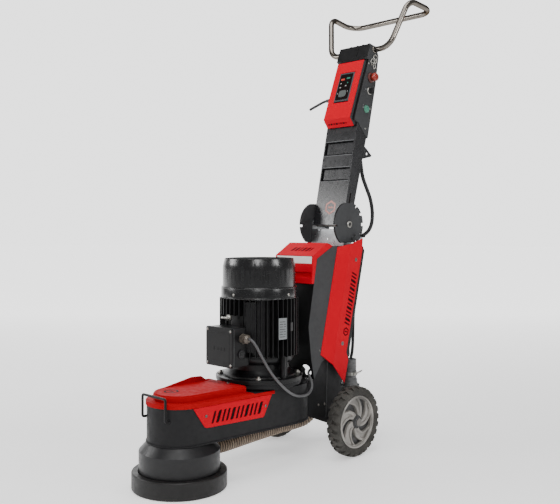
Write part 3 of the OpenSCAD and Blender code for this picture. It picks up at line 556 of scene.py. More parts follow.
HOSE_D = 50
HOSE_ROUTE = [(0, 145, 94), (0, 190, 94), (0, 250, 97), (0, 320, 101), (2, 390, 105), (6, 450, 109),
              (14, 510, 112), (24, 555, 120), (32, 592, 145), (38, 625, 166), (44, 660, 170), (49, 700, 159),
              (50, 742, 153)]
HOSE_RIB_DEPTHS = (0.0, 0.0, 0.4, 4.8, 5.6, 4.8, 0.4)
HOSE_STEP = 1.5


def dust_hose():
    path, radii = ribbed(HOSE_ROUTE, 10, HOSE_STEP, HOSE_D / 2, HOSE_RIB_DEPTHS)
    shape = Shape(HEAD).tube(path, radii, 32)
    shape.done("ribbed_hose", "frame", hose_plastic, "hose", ["dust_hose"], sharp=80)


dust_hose()

# ---------- CAD nodes that keep their shape: node, material, bevel in millimetres ----------

for node, material, bevel in (
    ("floor_skirt", skirt_rubber, 1.2), ("dust_shroud", drum_paint, 1.0), ("grinding_plate", steel, 0.6),
    ("diamond_segments", diamond_metal, 0.8), ("spindle", steel, 0.5), ("spindle_housing", iron, 0.8),
    ("bearings", steel, 0.3), ("spindle_pulley", iron, 0.5), ("motor_pulley", iron, 0.5),
    ("drive_belt", black_plastic, 0.4), ("belt_housing", housing_paint, 1.0), ("belt_lid", lid_paint, 1.2),
    ("side_badges", red_paint, 0.8), ("motor_adapter", housing_paint, 1.0),
    ("motor_flange", motor_paint, 1.2), ("motor_body", motor_paint, 0.6), ("stator", copper, 0.5),
    ("end_shield", motor_paint, 0.8), ("rotor_shaft", steel, 0.5), ("cooling_fan", black_plastic, 0.5),
    ("terminal_box", motor_paint, 2.0), ("terminal_lid", motor_paint, 1.5),
    ("chassis_frame", housing_paint, 0.8), ("axle", dull_zinc, 0.8), ("lamp_housing", red_paint, 1.2),
    ("lamp_lens", lens_plastic, 1.0), ("pivot_bracket", bracket_steel, 0.6), ("lock_bar", black_paint, 0.8),
    ("control_cover", red_paint, 0.6), ("drive_unit", grey_plastic, 1.0),
    ("lead_gland", black_plastic, 0.5), ("mast", mast_paint, 0.8),
):
    dress(node, material, bevel)

# ---------- wheels ----------

TYRE_R = 124
TREAD_R = 117
TYRE_HALF = 25
RIM_R = 93
LUGS = 26
# Stations of a lug from the tread's middle to the sidewall: across, radius outside, radius inside, then how
# far the lug is skewed and half its length round the tyre, both in degrees
LUG_STATIONS = [(-3, TYRE_R, TREAD_R - 3, -3.0, 3.0), (8, TYRE_R, TREAD_R - 3, -0.6, 3.6),
                (17, TYRE_R - 0.8, TREAD_R - 4, 0.8, 4.2), (22.5, TYRE_R - 4.5, TREAD_R - 6, 0.8, 4.2),
                (24.9, TYRE_R - 10, TREAD_R - 10, 0.8, 4.2), (24.9, TYRE_R - 17, TREAD_R - 14, 0.8, 3.2)]
LUG_ROOT_X = 21.0  # no lug's root lies further from the tyre's middle


def tyre(side, body):
    shape = Shape(at(*middle(f"tyre_{side}")) @ ALONG_X)
    right_half = [(TREAD_R, 10), (TREAD_R - 1, TYRE_HALF - 6), (TREAD_R - 6, TYRE_HALF - 1),
                  (RIM_R + 14, 23.5), (RIM_R + 9, 23.5), (RIM_R + 3, 21), (RIM_R, 18)]
    shape.hoop([(r, -x) for r, x in reversed(right_half)] + right_half, steps=96)
    for s in (-1, 1):
        # A bead ring on each sidewall
        bead = [(RIM_R + 11, s * 23), (RIM_R + 12, s * 24.4), (RIM_R + 14, s * 24.4), (RIM_R + 15, s * 23)]
        shape.hoop(bead, steps=96)
        for k in range(LUGS):
            lug(shape, 360 / LUGS * (k + (0.5 if s > 0 else 0)), s)
    shape.done(f"lugged_tyre_{side}", body, tyre_rubber, "tyre", [f"tyre_{side}"], bevel=0.8, sharp=38)


def lug(shape, degrees, side):
    rings = []
    for x, outer, inner, skew, half in LUG_STATIONS:
        root = min(x, LUG_ROOT_X)
        corners = ((inner, -half, root), (outer, -half, x), (outer, half, x), (inner, half, root))
        rings.append(shape.ring([(*polar(r, degrees + skew + offset), side * across)
                                 for r, offset, across in corners]))
    shape.skin(rings)


SPOKES = 5
SPOKE_STEPS = 8
SPOKE_FORKS = ((-11, 44, 1.35), (13, 56, 1.0))  # start and sweep in degrees, and a share of the usual width
HUB_R = 26


def rim(side, body):
    centre = at(*middle(f"rim_{side}"))
    shape = Shape(centre @ ALONG_X)
    half = [(RIM_R, 19), (RIM_R - 2, 20.5), (RIM_R - 6, 20), (RIM_R - 9, 15), (RIM_R - 10, 6)]
    shape.hoop(half + [(r, -x) for r, x in reversed(half)], steps=96)
    shape.hoop(rect(RIM_R - 12, 13, RIM_R - 9, 16), steps=96)
    for face in (1, -1):
        for k in range(SPOKES):
            spoke(shape, 360 / SPOKES * k, face)
    shape.done(f"spoked_rim_{side}", body, rim_plastic, "rim_grey", [f"rim_{side}"], bevel=1.0)
    core = Shape(centre @ ALONG_X)
    core.hoop(rect(HUB_R - 4, -4, RIM_R - 8, 4), steps=72)
    core.lathe([(0, -20), (HUB_R - 4, -19), (HUB_R, -14), (HUB_R, 14), (HUB_R - 4, 19), (16, 20), (0, 20)],
               steps=48)
    for k in range(SPOKES * 2):
        core.lathe([(2.4, 18), (2.4, 20.6), (0, 21)], at(*polar(20, 180 / SPOKES * k)), 12)
    core.done(f"rim_core_{side}", body, rim_dark, "rim_grey", bevel=0.8)
    cap = Shape(centre @ (ALONG_X if side == "right" else turn(-90, "Y")))
    cap.lathe([(0, 19), (15, 19), (15, 22), (13, 23.6), (9, 24), (9, 22.6), (0, 22.6)], steps=40)
    cap.prism(hexagon_of(7), 22, 25)
    cap.done(f"hub_cap_{side}", body, cable_grey, "black_plastic", bevel=0.6)


def spoke(shape, degrees, face):
    """A swirled spoke that forks into two ribs with a web between them, on one face of the wheel."""
    stations = [(i / SPOKE_STEPS, HUB_R - 3 + (RIM_R - HUB_R - 5) * i / SPOKE_STEPS)
                for i in range(SPOKE_STEPS + 1)]
    for start, sweep, wide in SPOKE_FORKS:
        rings = []
        for t, r in stations:
            a = degrees + start + sweep * t ** 1.25
            half = math.degrees((6.5 - 2.2 * t + 13.5 * max(t - 0.8, 0)) * wide / r)
            top = 17 - 3.5 * t
            section = ((-1.25, 3), (-1, top - 2), (-0.55, top), (0.55, top), (1, top - 2), (1.25, 3))
            rings.append(shape.ring([(*polar(r, a + b * half), face * z) for b, z in section]))
        shape.skin(rings)
    web = []
    for t, r in stations:
        a, half, top = degrees + 1 + 50 * t ** 1.25, 12 + 6 * t, 13 - 4 * t
        section = ((-1, 3), (-1, top), (1, top), (1, 3))
        web.append(shape.ring([(*polar(r, a + b * half), face * z) for b, z in section]))
    shape.skin(web)


for side, body in (("left", "wheel_left"), ("right", "wheel_right")):
    tyre(side, body)
    rim(side, body)

# ---------- nodes of two materials, chosen by the way each face points ---

dress("fan_cowl", cowl_paint, 1.5, second=matt_black, choose=lambda n: n.z > 0.95)
# The discs' faces towards +X take the lighter panel paint: painted light, making up for the shade between
# mast and disc.
dress("mast_discs", black_paint, 0.8, second=panel_paint, choose=lambda n: n.x > 0.9)
dress("column", black_paint, 0.8, second=panel_paint, choose=lambda n: abs(n.x) > 0.9)
dress("cover_right", red_paint, 0.5, second=black_paint, choose=lambda n: n.x < 0.35 and n.y > -0.8)
dress("cover_left", red_paint, 0.5, second=black_paint, choose=lambda n: n.x > -0.35 and n.y > -0.8)
dress("control_box", panel_paint, 1.0, second=black_paint, choose=lambda n: n.y < -0.5)

# ---------- screws and bolts ----------

SCREW_HEIGHT = 3.6  # at most
WASHER_HEIGHT = 4  # a lower solid of the flange's bolts is a washer, which the bolt here brings with it


def button_screw(shape, place, r, h):
    """A domed screw with a hexagon socket, standing on local z 0."""
    socket = r * 0.45
    shape.lathe([(r, 0), (r, h * 0.25), (r * 0.86, h * 0.7), (r * 0.6, h), (socket, h)], place, 28)
    shape.skin([shape.ring([(x, y, z) for x, y in hexagon_of(q)], place)
                for z, q in ((h, socket), (h + 0.02, socket * 0.96), (h * 0.35, socket * 0.9))])


def screws_for(node, name, material):
    """Puts a domed screw in place of each plain solid of the node, standing on its inner face."""
    shape = Shape()
    for low, high in islands(node):
        size = high - low
        mid = (low + high) / 2
        axis = min(range(3), key=lambda i: size[i])
        if axis == 0 and mid.x > 0:
            place = at(low.x, mid.y, mid.z) @ turn(90, "Y")
        elif axis == 0:
            place = at(high.x, mid.y, mid.z) @ turn(-90, "Y")
        elif axis == 1:
            place = at(mid.x, high.y, mid.z) @ turn(90, "X")
        else:
            place = at(mid.x, mid.y, low.z)
        button_screw(shape, place, max(size) / 2, min(size[axis], SCREW_HEIGHT))
    shape.done(name, "frame", material, "steel", [node])


def flange_bolts():
    shape = Shape()
    for low, high in islands("flange_bolts"):
        if high.z - low.z < WASHER_HEIGHT:
            continue
        place = at((low.x + high.x) / 2, (low.y + high.y) / 2, low.z)
        shape.lathe([(12.5, -2), (12.5, -0.3), (12, 0), (7, 0)], place, 40)
        shape.prism(hexagon_of(10.5), 0, 7, place)
        shape.lathe([(9, 7), (8.2, 8), (0, 8)], place, 30)
        shape.lathe([(5, 8), (5, 11), (4, 12), (0, 12)], place, 24)
    shape.done("hex_bolts", "frame", zinc, "steel", ["flange_bolts"], bevel=0.5)


# ---------- strap and trims ----------

STRAP_ROUTE = [(40, 772, 619), (40, 790, 607), (42, 808, 580), (43, 818, 540), (43, 820, 503), (41, 819, 475),
               (40, 818, 418), (38, 818, 364), (34, 819, 332), (29, 816, 303), (28, 811, 282), (30, 806, 264)]
STRAP_D = 12
COVER_TRIM = [(781, 726), (783, 742), (788, 746), (799, 726), (710, 366), (711, 344), (699, 327),
              (687.5, 355)]
COVER_TRIM_X = (103, 111.4)


def earth_strap():
    """The lead from the column's rear panel to the clamp of the vacuum port, with an eye at each end."""
    strap = Shape(HEAD).tube(through(STRAP_ROUTE, 8), STRAP_D / 2, 14)
    strap.done("earth_strap", "frame", cable_black, "cable_black")
    eyes = Shape(HEAD)
    button_screw(eyes, at(40, 768, 622) @ turn(-90, "X"), 8, 5)
    eyes.tube([(30, 806, 268), (31, 805, 258), (34, 801, 256)], 4.5, 14)
    eyes.done("strap_eyes", "frame", zinc, "steel", sharp=50)


def cover_trims():
    """The sealing strip behind the rear edge of each side cover."""
    shape = Shape()
    for side in BOTH_SIDES:
        shape.prism(COVER_TRIM, *COVER_TRIM_X, side @ HEAD @ SIDEWAYS)
    shape.done("cover_trims", "frame", black_paint, "black_paint", bevel=1.2)


# ---------- handlebar and guard ----------

BAR_D = 22
BAR_CORNERS = [(76, 20, 706), (145.7, 20, 706), (196.4, 38, 897), (207, 194, 913)]  # of its right half
BAR_BENDS = [55, 48, 58]  # radius at each corner after the first
GUARD_HALF = 58
GUARD_OUT = -100
GUARD_WALL = -84
GUARD_LOW = 226
GUARD_HIGH = 296
GUARD_D = 8


def handlebar():
    left = [(-x, y, z) for x, y, z in reversed(BAR_CORNERS)]
    shape = Shape(MAST).tube(rounded_path(BAR_CORNERS + left, BAR_BENDS + BAR_BENDS[::-1], 14), BAR_D / 2, 32)
    x, y, z = BAR_CORNERS[0]
    for s in (-1, 1):
        # The collar where the tube enters the control box
        shape.lathe([(BAR_D / 2 - 1, 0), (BAR_D / 2 + 3, 0), (BAR_D / 2 + 3, 1.5), (BAR_D / 2 + 0.5, 4)],
                    at(s * x, y, z) @ turn(90 * s, "Y"), 32)
    shape.done("bent_handlebar", "mast", stainless, "stainless", ["handlebar"], sharp=50)


def front_guard():
    right = [(GUARD_HALF, GUARD_WALL, GUARD_LOW), (GUARD_HALF, GUARD_OUT, GUARD_LOW),
             (GUARD_HALF, GUARD_OUT, GUARD_HIGH)]
    left = [(-x, y, z) for x, y, z in reversed(right)]
    shape = Shape(HEAD).tube(rounded_path(right + left, [7, 7, 7, 7], 8), GUARD_D / 2, 20)
    shape.done("guard_rod", "frame", black_paint, "black_paint", ["front_guard"], sharp=50)


# ---------- controls on the mast's right-hand side ----------

BOX_X = 76  # half the control box's width
ESTOP_AT = (20, 590)  # across and up the side of the box
SELECTOR_AT = (22, 536)
START_AT = (20, 462)
KNURLS = 24
LABELS = ((-1, 533, 5, 7), (-3, 459, 5, 8), (-3, 470, 5, 4))  # across, up, width, height
BOX_SCREWS = ((30, 386), (-2, 640), (44, 640), (42, 470))


def beside_box(y, z):
    """A place on the control box's right-hand side, local z outwards."""
    return MAST @ at(BOX_X, y, z) @ ALONG_X


def emergency_stop():
    """A mushroom head with three grip marks, on a knurled collar."""
    collar = Shape(beside_box(*ESTOP_AT))
    collar.hoop([(19, 0), (19.5, 3), (18, 6), (15, 8), (8, 8), (8, 0)], steps=48)
    for k in range(KNURLS):
        collar.lathe([(1.1, 0.5), (1.1, 5.5), (0, 5.8)], at(*polar(18.8, 360 / KNURLS * k)), 8)
    collar.done("estop_collar", "mast", collar_red, "black_plastic", ["control_bezels"], bevel=0.4)
    head = Shape(beside_box(*ESTOP_AT))
    head.lathe([(0, -7), (7, -7), (7, 13.6), (13.5, 14.4), (16, 17), (16.5, 20.5), (16, 26), (13, 29.5),
                (7, 30.8), (0, 31)], steps=56)
    for start in (0, 120, 240):
        head.tube([(*polar(10.5, start + t), 30.2) for t in range(0, 81, 10)], 0.9, 8)
    head.done("mushroom_head", "estop", estop_red, "red_plastic", ["estop_head"], bevel=0.3)


def selector():
    bezel = Shape(beside_box(*SELECTOR_AT))
    bezel.hoop([(14.5, 0), (14.5, 3), (13, 5), (10.5, 5), (10.5, 0)], steps=48)
    bezel.done("selector_ring", "mast", zinc, "black_plastic", bevel=0.4)
    knob = Shape(beside_box(*SELECTOR_AT))
    knob.lathe([(0, -6), (6.5, -6), (6.5, 5.2), (10, 5.4), (10.2, 9), (0, 9.6)], steps=40)
    knob.prism([(-11.5, -4), (10, -4.6), (11.5, 0), (10, 4.6), (-11.5, 4)], 9, 21.5)
    knob.prism(rect(8, -0.8, 11, 0.8), 21.5, 21.9)
    knob.done("selector_grip", "selector", black_plastic, "black_plastic", ["selector_knob"], bevel=0.7)


def start_button():
    bezel = Shape(beside_box(*START_AT))
    bezel.hoop([(14.5, 0), (14.5, 2.5), (13.5, 4), (11.5, 4), (11.5, 0)], steps=48)
    bezel.done("start_ring", "mast", start_green, "green_plastic", bevel=0.3)
    cap = Shape(beside_box(*START_AT))
    cap.lathe([(0, -5), (10.9, -5), (10.9, 5.6), (10, 6.8), (0, 6.8)], steps=48)
    cap.done("start_cap", "start", start_green, "green_plastic", ["start_button"], bevel=0.4)
    icon = Shape(beside_box(*START_AT))
    icon.hoop([(6.5, 6.6), (6.5, 7.1), (5.2, 7.1), (5.2, 6.6)], steps=40)
    icon.done("start_icon", "start", key_green, "green_plastic")


def control_labels():
    labels = Shape(MAST @ at(BOX_X) @ SIDEWAYS)
    for y, z, dy, dz in LABELS:
        labels.prism(rounded_box(y, z, y + dy, z + dz, 1.2, 3), 0, 0.35)
    labels.done("control_labels", "mast", panel_light, "panel_grey", bevel=0.1)


def box_screws():
    screws = Shape()
    for y, z in BOX_SCREWS:
        for side in BOTH_SIDES:
            button_screw(screws, side @ beside_box(y, z), 3.4, 2.2)
    screws.done("box_screws", "mast", zinc, "steel")


# Middle across and up, half width, half height and tilt of each wire loop
HOOK_LOOPS = ((22, 668, 10, 15, 0), (12, 652, 9, 15, 20), (20, 640, 7, 11, -25), (26, 654, 6, 12, 10))


def snap_hook():
    """A hook and chain links hanging beside the control box."""
    links = Shape(MAST @ at(BOX_X + 7) @ SIDEWAYS)
    for y, z, wide, high, tilt in HOOK_LOOPS:
        loop = []
        for t in range(0, 361, 15):
            c, s = polar(1, t)
            loop.append((y + wide * s + 0.2 * tilt * c, z + high * c, polar(2.5, 2 * t + 4 * tilt)[1]))
        links.tube(loop, 1.4, 10)
    links.tube([(22, 680, -8), (22, 681, -3), (22, 682, 0)], 3.2, 12)
    links.done("snap_hook", "mast", zinc, "steel", sharp=60)


KEYPAD_LEAN = 8.36  # degrees between the drive unit's face and the mast
# Keys and display: piece, material, then left, lower, right and upper edge of each area
KEYS = (
    ("key_stop", key_red, [(-24, 29, -6, 37)]),
    ("key_run", key_green, [(3, 33, 20, 40), (10, 14, 16, 19)]),
    ("key_marks", white_print, [(-23, 14, -17, 18), (-22, -4, -16, 0), (3, 1, 10, 5), (-26, -31, -24, -25),
                                (22, -25, 24, -19)]),
    ("drive_display", display_glass, [(-19, -44, 17, -16)]),
)


def keypad():
    """The drive's keypad, in the window of the cover. Local x, y, z: right, up, outwards."""
    face = MAST @ at(0, -39.5, 541) @ turn(-KEYPAD_LEAN, "X") @ FACING_FRONT
    plate = Shape(face)
    plate.prism(rounded_box(-35, -60, 35, 60, 3), 0, 0.8)
    plate.done("keypad_plate", "mast", grey_plastic, "grey_plastic", bevel=0.2)
    pad = Shape(face)
    pad.prism(rounded_box(-31, -56, 31, 56, 4), 0.8, 1.4)
    step = [(-31, -10), (-8, -10), (-3, -5), (31, -5), (31, -8), (-2, -8), (-7, -13), (-31, -13)]
    pad.prism(step, 1.3, 1.9)
    pad.prism(rounded_box(-26, -56, 24, -49, 1.5), 1.3, 2.2)
    for x in (-12, 3, 18):
        pad.prism(rounded_box(x, 5, x + 11, 12, 2), 1.3, 2.1)
    pad.done("keypad_face", "mast", dark_print, "black_plastic", bevel=0.2)
    for name, material, areas in KEYS:
        piece = Shape(face)
        for x0, y0, x1, y1 in areas:
            piece.prism(rounded_box(x0, y0, x1, y1, min(x1 - x0, y1 - y0) * 0.25, 3), 1.3, 2.0)
        piece.done(name, "mast", material, "grey_plastic", bevel=0.15)


# ---------- generic markings: slanted bars and a hexagon, in place of words and marks ----------

PRINT = 0.3  # thickness of every marking
BADGE_BARS = (0.22, 0.34, 0.22) * 3 + (0.22, 0.34)
COVER_BARS = (0.2, 0.34, 0.2, 0.2, 0.34) * 2 + (0.2, 0.34, 0.2, 0.2)
LAMP_BARS = (0.5, 0.5, 0.25) * 2
LIP_BARS = (0.5, 0.8, 0.5, 0.8, 0.3, 0.5, 0.8, 0.3)
BADGE_FACE = 105.6  # from the centre plane, in the frame turned with the housing's side
SIDE_ANGLE = 3.55
COVER_LEAN = 13.6
COVER_FACE = 113.5


def bars(shape, x, y, high, widths, gap, slant):
    """A row of slanted bars from x, y along local +x. widths, gap and slant are shares of high."""
    for share in widths:
        w = share * high
        cut = min(w * 0.3, high * 0.12)
        lean = slant * high
        shape.prism([(x, y), (x + w - cut, y), (x + w, y + cut), (x + w + lean, y + high),
                     (x + cut + lean, y + high), (x + lean, y + high - cut)], 0, PRINT)
        x += w + gap * high


def hexagon(shape, x, y, r):
    """A hexagonal ring with a bar across it."""
    outer = [polar(r, 60 * k + 30) for k in range(7)]
    for (ax, ay), (bx, by) in zip(outer, outer[1:]):
        shape.prism([(x + ax, y + ay), (x + bx, y + by), (x + 0.72 * bx, y + 0.72 * by),
                     (x + 0.72 * ax, y + 0.72 * ay)], 0, PRINT)
    wide, thin = 0.42 * r, 0.12 * r
    shape.prism(rect(x - wide, y - thin, x + wide, y + thin), 0, PRINT)


def side_marks():
    marks = Shape()
    for side in BOTH_SIDES:
        marks.place = side @ HEAD @ turn(-SIDE_ANGLE, "Z") @ at(BADGE_FACE) @ SIDEWAYS
        bars(marks, 46, 208, 37, BADGE_BARS, 0.25, 0.3)
        marks.place = side @ HEAD @ at(COVER_FACE, 566, 357) @ turn(-COVER_LEAN, "X") @ SIDEWAYS
        hexagon(marks, 98, 100, 16)
        marks.place = marks.place @ at(116, 124) @ turn(90, "Z")
        bars(marks, 0, 4, 29, COVER_BARS, 0.24, 0.2)
    marks.done("side_marks", "frame", dark_print, "black_paint")


def lamp_marks():
    marks = Shape(HEAD @ at(0, 566, 735.5) @ turn(30.6, "X"))
    bars(marks, -44, -14, 24, LAMP_BARS, 0.3, 0.25)
    marks.done("lamp_marks", "frame", red_print, "black_paint")


def lid_marks():
    """A hexagon and three lines across the lid's step."""
    marks = Shape(HEAD @ at(0, 0, 299))
    hexagon(marks, -14, -22, 26)
    for k in range(3):
        x, y = 4 * k, 164 + 9 * k
        marks.prism([(x - 58, y), (x + 6, y), (x + 8, y + 2.5), (x - 56, y + 2.5)], 0, PRINT)
    marks.done("lid_marks", "frame", dark_print, "black_paint")


def mast_marks():
    emblem = Shape(MAST_FRONT)
    hexagon(emblem, 1, 62, 28)
    # The emblem's pale pink is painted glare on a red emblem.
    emblem.done("mast_emblem", "mast", emblem_print_with_painted_glare, "grey_plastic")
    lip = Shape(MAST @ at(0, -43.6, 392.4) @ turn(42.3, "X") @ FACING_FRONT)
    bars(lip, -52, -6, 13, LIP_BARS, 0.35, 0.2)
    lip.done("cover_marks", "mast", dark_print, "black_paint")


# ---------- mast details ----------

POCKETS = ((166, 221), (269, 326))  # lower and upper edge of each pressed pocket
POCKET_HALF = 69
POCKET_GROOVES = 12  # spaces between the fine ribs of a pocket's insert
TOP_STRIP = [(-20.1, 661), (-10.4, 719), (-12, 719.4), (-21.7, 661.4)]
TOP_TABS = ((-30, 9), (2, 7), (30, 9), (58, 10))  # start and width of each


def pockets():
    x = POCKET_HALF
    painted_shade, inserts, lips = Shape(MAST_FRONT), Shape(MAST_FRONT), Shape(MAST_FRONT)
    for low, high in POCKETS:
        # Matt black bands along each pocket's left, upper and lower edge: painted shade of the pressed
        # recess.
        painted_shade.prism([(-x, low), (x, low), (x, low + 6), (-x + 7, low + 6), (-x + 7, high - 7), (x, high - 7),
                     (x, high), (-x, high)], -5, -0.5)
        inserts.prism(rounded_box(-x + 8, low + 7, x - 2, high - 8, 2), -5, -4)
        for k in range(1, POCKET_GROOVES):
            z = low + 8 + (high - low - 17) * k / POCKET_GROOVES
            inserts.prism(rect(-x + 10, z - 0.8, x - 4, z + 0.8), -4, -3.6)
        for z in (low, high):
            lips.tube([(-x, z, 0), (0, z, 0.2), (x, z, 0)], 1.3, 8)
    painted_shade.done("pocket_painted_shade", "mast", matt_black, "black_plastic", bevel=0.5)
    inserts.done("pocket_inserts", "mast", mast_paint, "black_paint", bevel=0.2)
    lips.done("pocket_lips", "mast", panel_light, "black_paint")


def mast_slot():
    slot = Shape(MAST @ at(75) @ SIDEWAYS).prism(rounded_box(-4, 72, 1.5, 122, 2.6), 0, 0.3)
    slot.done("mast_slot", "mast", dark_print, "black_paint", bevel=0.1)


def top_caps():
    """The fold over the control cover's upper edge, in two parts, and the tabs above it."""
    caps = Shape(MAST @ SIDEWAYS)
    caps.prism(TOP_STRIP, -75, 22)
    caps.prism(TOP_STRIP, 25, 75)
    for x, wide in TOP_TABS:
        caps.prism([(-8, 720), (6, 720), (5, 724), (-5, 725)], x, x + wide)
    caps.done("top_caps", "mast", black_paint, "black_paint", bevel=0.6)


def pin_caps():
    """The pivot pin's rings and sockets, and the two bolts of each disc."""
    rings, cores = Shape(), Shape()
    for side in BOTH_SIDES:
        place = side @ PIVOT @ ALONG_X
        rings.lathe([(0, 0), (8, 0), (8, 88.2), (13, 88.3), (13, 90.8), (11.5, 92.6), (8.5, 92.6), (8.5, 90),
                     (0, 90)], place, 48)
        cores.prism(hexagon_of(6.5), 90, 92.4, place)
        cores.lathe([(3.5, 92.3), (3.5, 92.8), (0, 92.8)], place, 20)
        for y, z in ((18, -52), (34, -40)):
            cores.lathe([(5.5, 87.9), (5.5, 91), (4, 92), (0, 92)], side @ PIVOT @ at(0, y, z) @ ALONG_X, 24)
    rings.done("pin_caps", "frame", zinc, "steel", ["pivot_pin"], bevel=0.4)
    cores.done("pin_cores", "frame", black_plastic, "steel", bevel=0.5)


# ---------- motor details ----------

FIN_R = 137
PLATE_LINES = 7
BEADS = ((130.0, 609.0), (131.2, 576.0))  # radius and height of each bead on the cowl
BOX_FRONT = 164  # from the head's middle to the terminal box's lid


def around_motor(shape, a0, a1, r0, r1, z0, z1, n=10):
    """A curved plate round the motor, from angle a0 to a1."""
    shape.prism(arc(0, 0, r1, a0, a1, n) + arc(0, 0, r0, a1, a0, n), z0, z1)


def name_plates():
    plate = Shape(MOTOR)
    around_motor(plate, -16, -2, FIN_R - 0.5, FIN_R + 1.2, 441, 512)
    plate.done("name_plates", "frame", plate_silver, "steel", bevel=0.3)
    lines = Shape(MOTOR)
    low, high = FIN_R + 1.1, FIN_R + 1.5
    for k in range(PLATE_LINES):
        z = 449 + 8.3 * k
        around_motor(lines, -14.5, -9 if k % 3 else -5, low, high, z, z + 2.0, 6)
        if k % 3:
            around_motor(lines, -7.5, -4, low, high, z, z + 2.0, 4)
    around_motor(lines, 6, 11, FIN_R - 0.5, FIN_R + 1.2, 466, 494, 5)
    lines.done("plate_lines", "frame", black_plastic, "black_paint")


def motor_castings():
    """The raised pad on the fins, the turned rings at the foot and two upright bosses."""
    cast = Shape(MOTOR)
    around_motor(cast, -66, -50, 108, FIN_R - 4, 400, 566, 8)
    around_motor(cast, -63, -53, FIN_R - 5, FIN_R - 1, 418, 552, 8)
    cast.lathe([(103, 352), (112, 356), (119, 366), (121, 376), (119, 384), (110, 388)], steps=96)
    cast.hoop([(104, 309), (128, 309), (126, 315), (112, 322), (104, 335)], steps=96)
    for degrees in (-6, 174):
        cast.lathe([(9.5, 309), (8.5, 330), (8.5, 380), (7, 384), (0, 384)], at(*polar(130, degrees)), 32)
    cast.done("motor_castings", "frame", motor_paint, "cast_black", bevel=1.0)


def lifting_eye():
    eye = Shape(HEAD @ at(-5, 214, 512) @ FACING_FRONT)
    eye.lathe([(0, -4), (11, -4), (11, 3), (8, 5), (6, 9), (0, 9)], steps=40)
    turns = [polar(1, t) for t in range(0, 361, 12)]
    eye.tube([(13 * c, 2.5 * s, 17 + 10 * s) for c, s in turns], 3.4, 14)
    eye.done("lifting_eye", "frame", zinc, "steel", sharp=50)


def cowl_beads():
    bead = Shape(MOTOR)
    for r, z in BEADS:
        turns = [polar(1, t) for t in range(-80, 81, 10)]
        bulge = [(r - 1.4 + 2.7 * c, z + 3.6 * s) for c, s in turns]
        bead.hoop([(r - 4, z - 3.8), *bulge, (r - 4, z + 3.8)], steps=120)
    bead.done("cowl_beads", "frame", cowl_paint, "black_paint", sharp=70)


def box_lid_panel():
    """The raised field of the terminal box's lid, with a generic row of blocks."""
    panel = Shape(HEAD @ at(0, BOX_FRONT) @ FACING_FRONT)
    panel.prism(rounded_box(-52, 372, 52, 468, 6), 0, 0.5)
    for x, wide in ((-34, 12), (-14, 11), (2, 11), (18, 11)):
        panel.prism(rounded_box(x, 408, x + wide, 420, 1), 0.5, 1.2)
    panel.done("box_lid_panel", "frame", motor_paint, "box_black", bevel=0.15)


def box_gasket():
    gasket = Shape(HEAD @ at(0, BOX_FRONT + 9) @ FACING_FRONT)
    ring = rounded_box(-64, 355, 64, 485, 7)
    inside = rounded_box(-60, 359, 60, 481, 5)
    for k in range(len(ring)):
        j = (k + 1) % len(ring)
        gasket.prism([ring[k], ring[j], inside[j], inside[k]], -1.6, 0.2)
    gasket.done("box_gasket", "frame", cable_grey, "cable_black")


def blank_plug():
    plug = Shape(HEAD @ at(62, 207, 397) @ ALONG_X)
    plug.lathe([(0, -4), (10, -4), (10, 0), (14, 0), (14, 4), (12.5, 5), (10.5, 5), (10.5, 4), (7.5, 4),
                (7.5, 6), (0, 6.4)], steps=48)
    plug.prism(rect(-6, -1.2, 6, 1.2), 6.2, 7.2)
    plug.done("blank_plug_cap", "frame", black_plastic, "black_plastic", ["blank_plug"], bevel=0.3)


GLAND_RIBS = 18
GLAND_RIB = ((-0.10, 1.0), (-0.05, 1.06), (0.05, 1.06), (0.10, 1.0))  # angle in radians, share of the radius


def gland_nut():
    nut = Shape(HEAD @ at(62, 213, 448) @ ALONG_X)
    nut.prism(hexagon_of(17.5), 0.2, 8)
    for k in range(GLAND_RIBS):
        nut.prism([polar(14.2 * q, 360 / GLAND_RIBS * k + math.degrees(b)) for b, q in GLAND_RIB], 11, 24)
    nut.hoop([(4.7, 8), (13, 8), (14, 10), (14.4, 24), (12.5, 26), (9, 30.5), (4.7, 31)],
              steps=48)
    nut.done("gland_nut", "frame", gland_bronze, "grey_plastic", ["cable_gland"], bevel=0.2)


# ---------- port and chassis details ----------

PORT = HEAD @ at(50, 785)
BEND_R = 42
BEND_LOW = 153  # height of the bend's lower end


def port_pipe():
    pipe = Shape(PORT)
    pipe.hoop([(25, 206), (25, 306), (25.6, 308), (25.6, 312), (22.5, 312), (22, 306), (22, 206)])
    for z in (266, 280, 294):
        pipe.hoop([(24.5, z), (26, z + 1), (26, z + 3), (24.5, z + 4)])
    pipe.hoop([(24, 214), (33, 212), (36, 210), (38.6, 206), (38.6, 199), (37, 197), (37, 193), (39, 191),
                (39, 188.5), (36, 188), (24, 188)], steps=72)
    pipe.hoop([(24.5, 214), (30, 214), (30.5, 222), (28, 228), (29, 234), (27, 240), (24.5, 242)])
    for degrees in (45, 135, 225, 315):
        pipe.lathe([(4.5, 196), (4.5, 216), (3, 218), (0, 218)], at(*polar(33, degrees)), 20)
    pipe.done("port_pipe", "frame", port_plastic, "port_grey", bevel=0.5)


def port_bend():
    bend = Shape(PORT)
    turns = [polar(BEND_R, t) for t in range(0, 91, 3)]
    path = [(0, s - BEND_R, BEND_LOW + BEND_R - c) for c, s in turns]
    bend.tube(path, [25 + (1.2 if i % 5 == 2 else 0) for i in range(len(path))], 48)
    bend.lathe([(0, 0), (29, 0), (29.5, 3), (29.5, 15), (28, 18), (0, 18)],
               at(0, -BEND_R, BEND_LOW) @ turn(90, "X") @ at(0, 0, -6), 48)
    bend.done("port_bend", "frame", port_plastic, "port_grey", ["vacuum_port"], sharp=50)


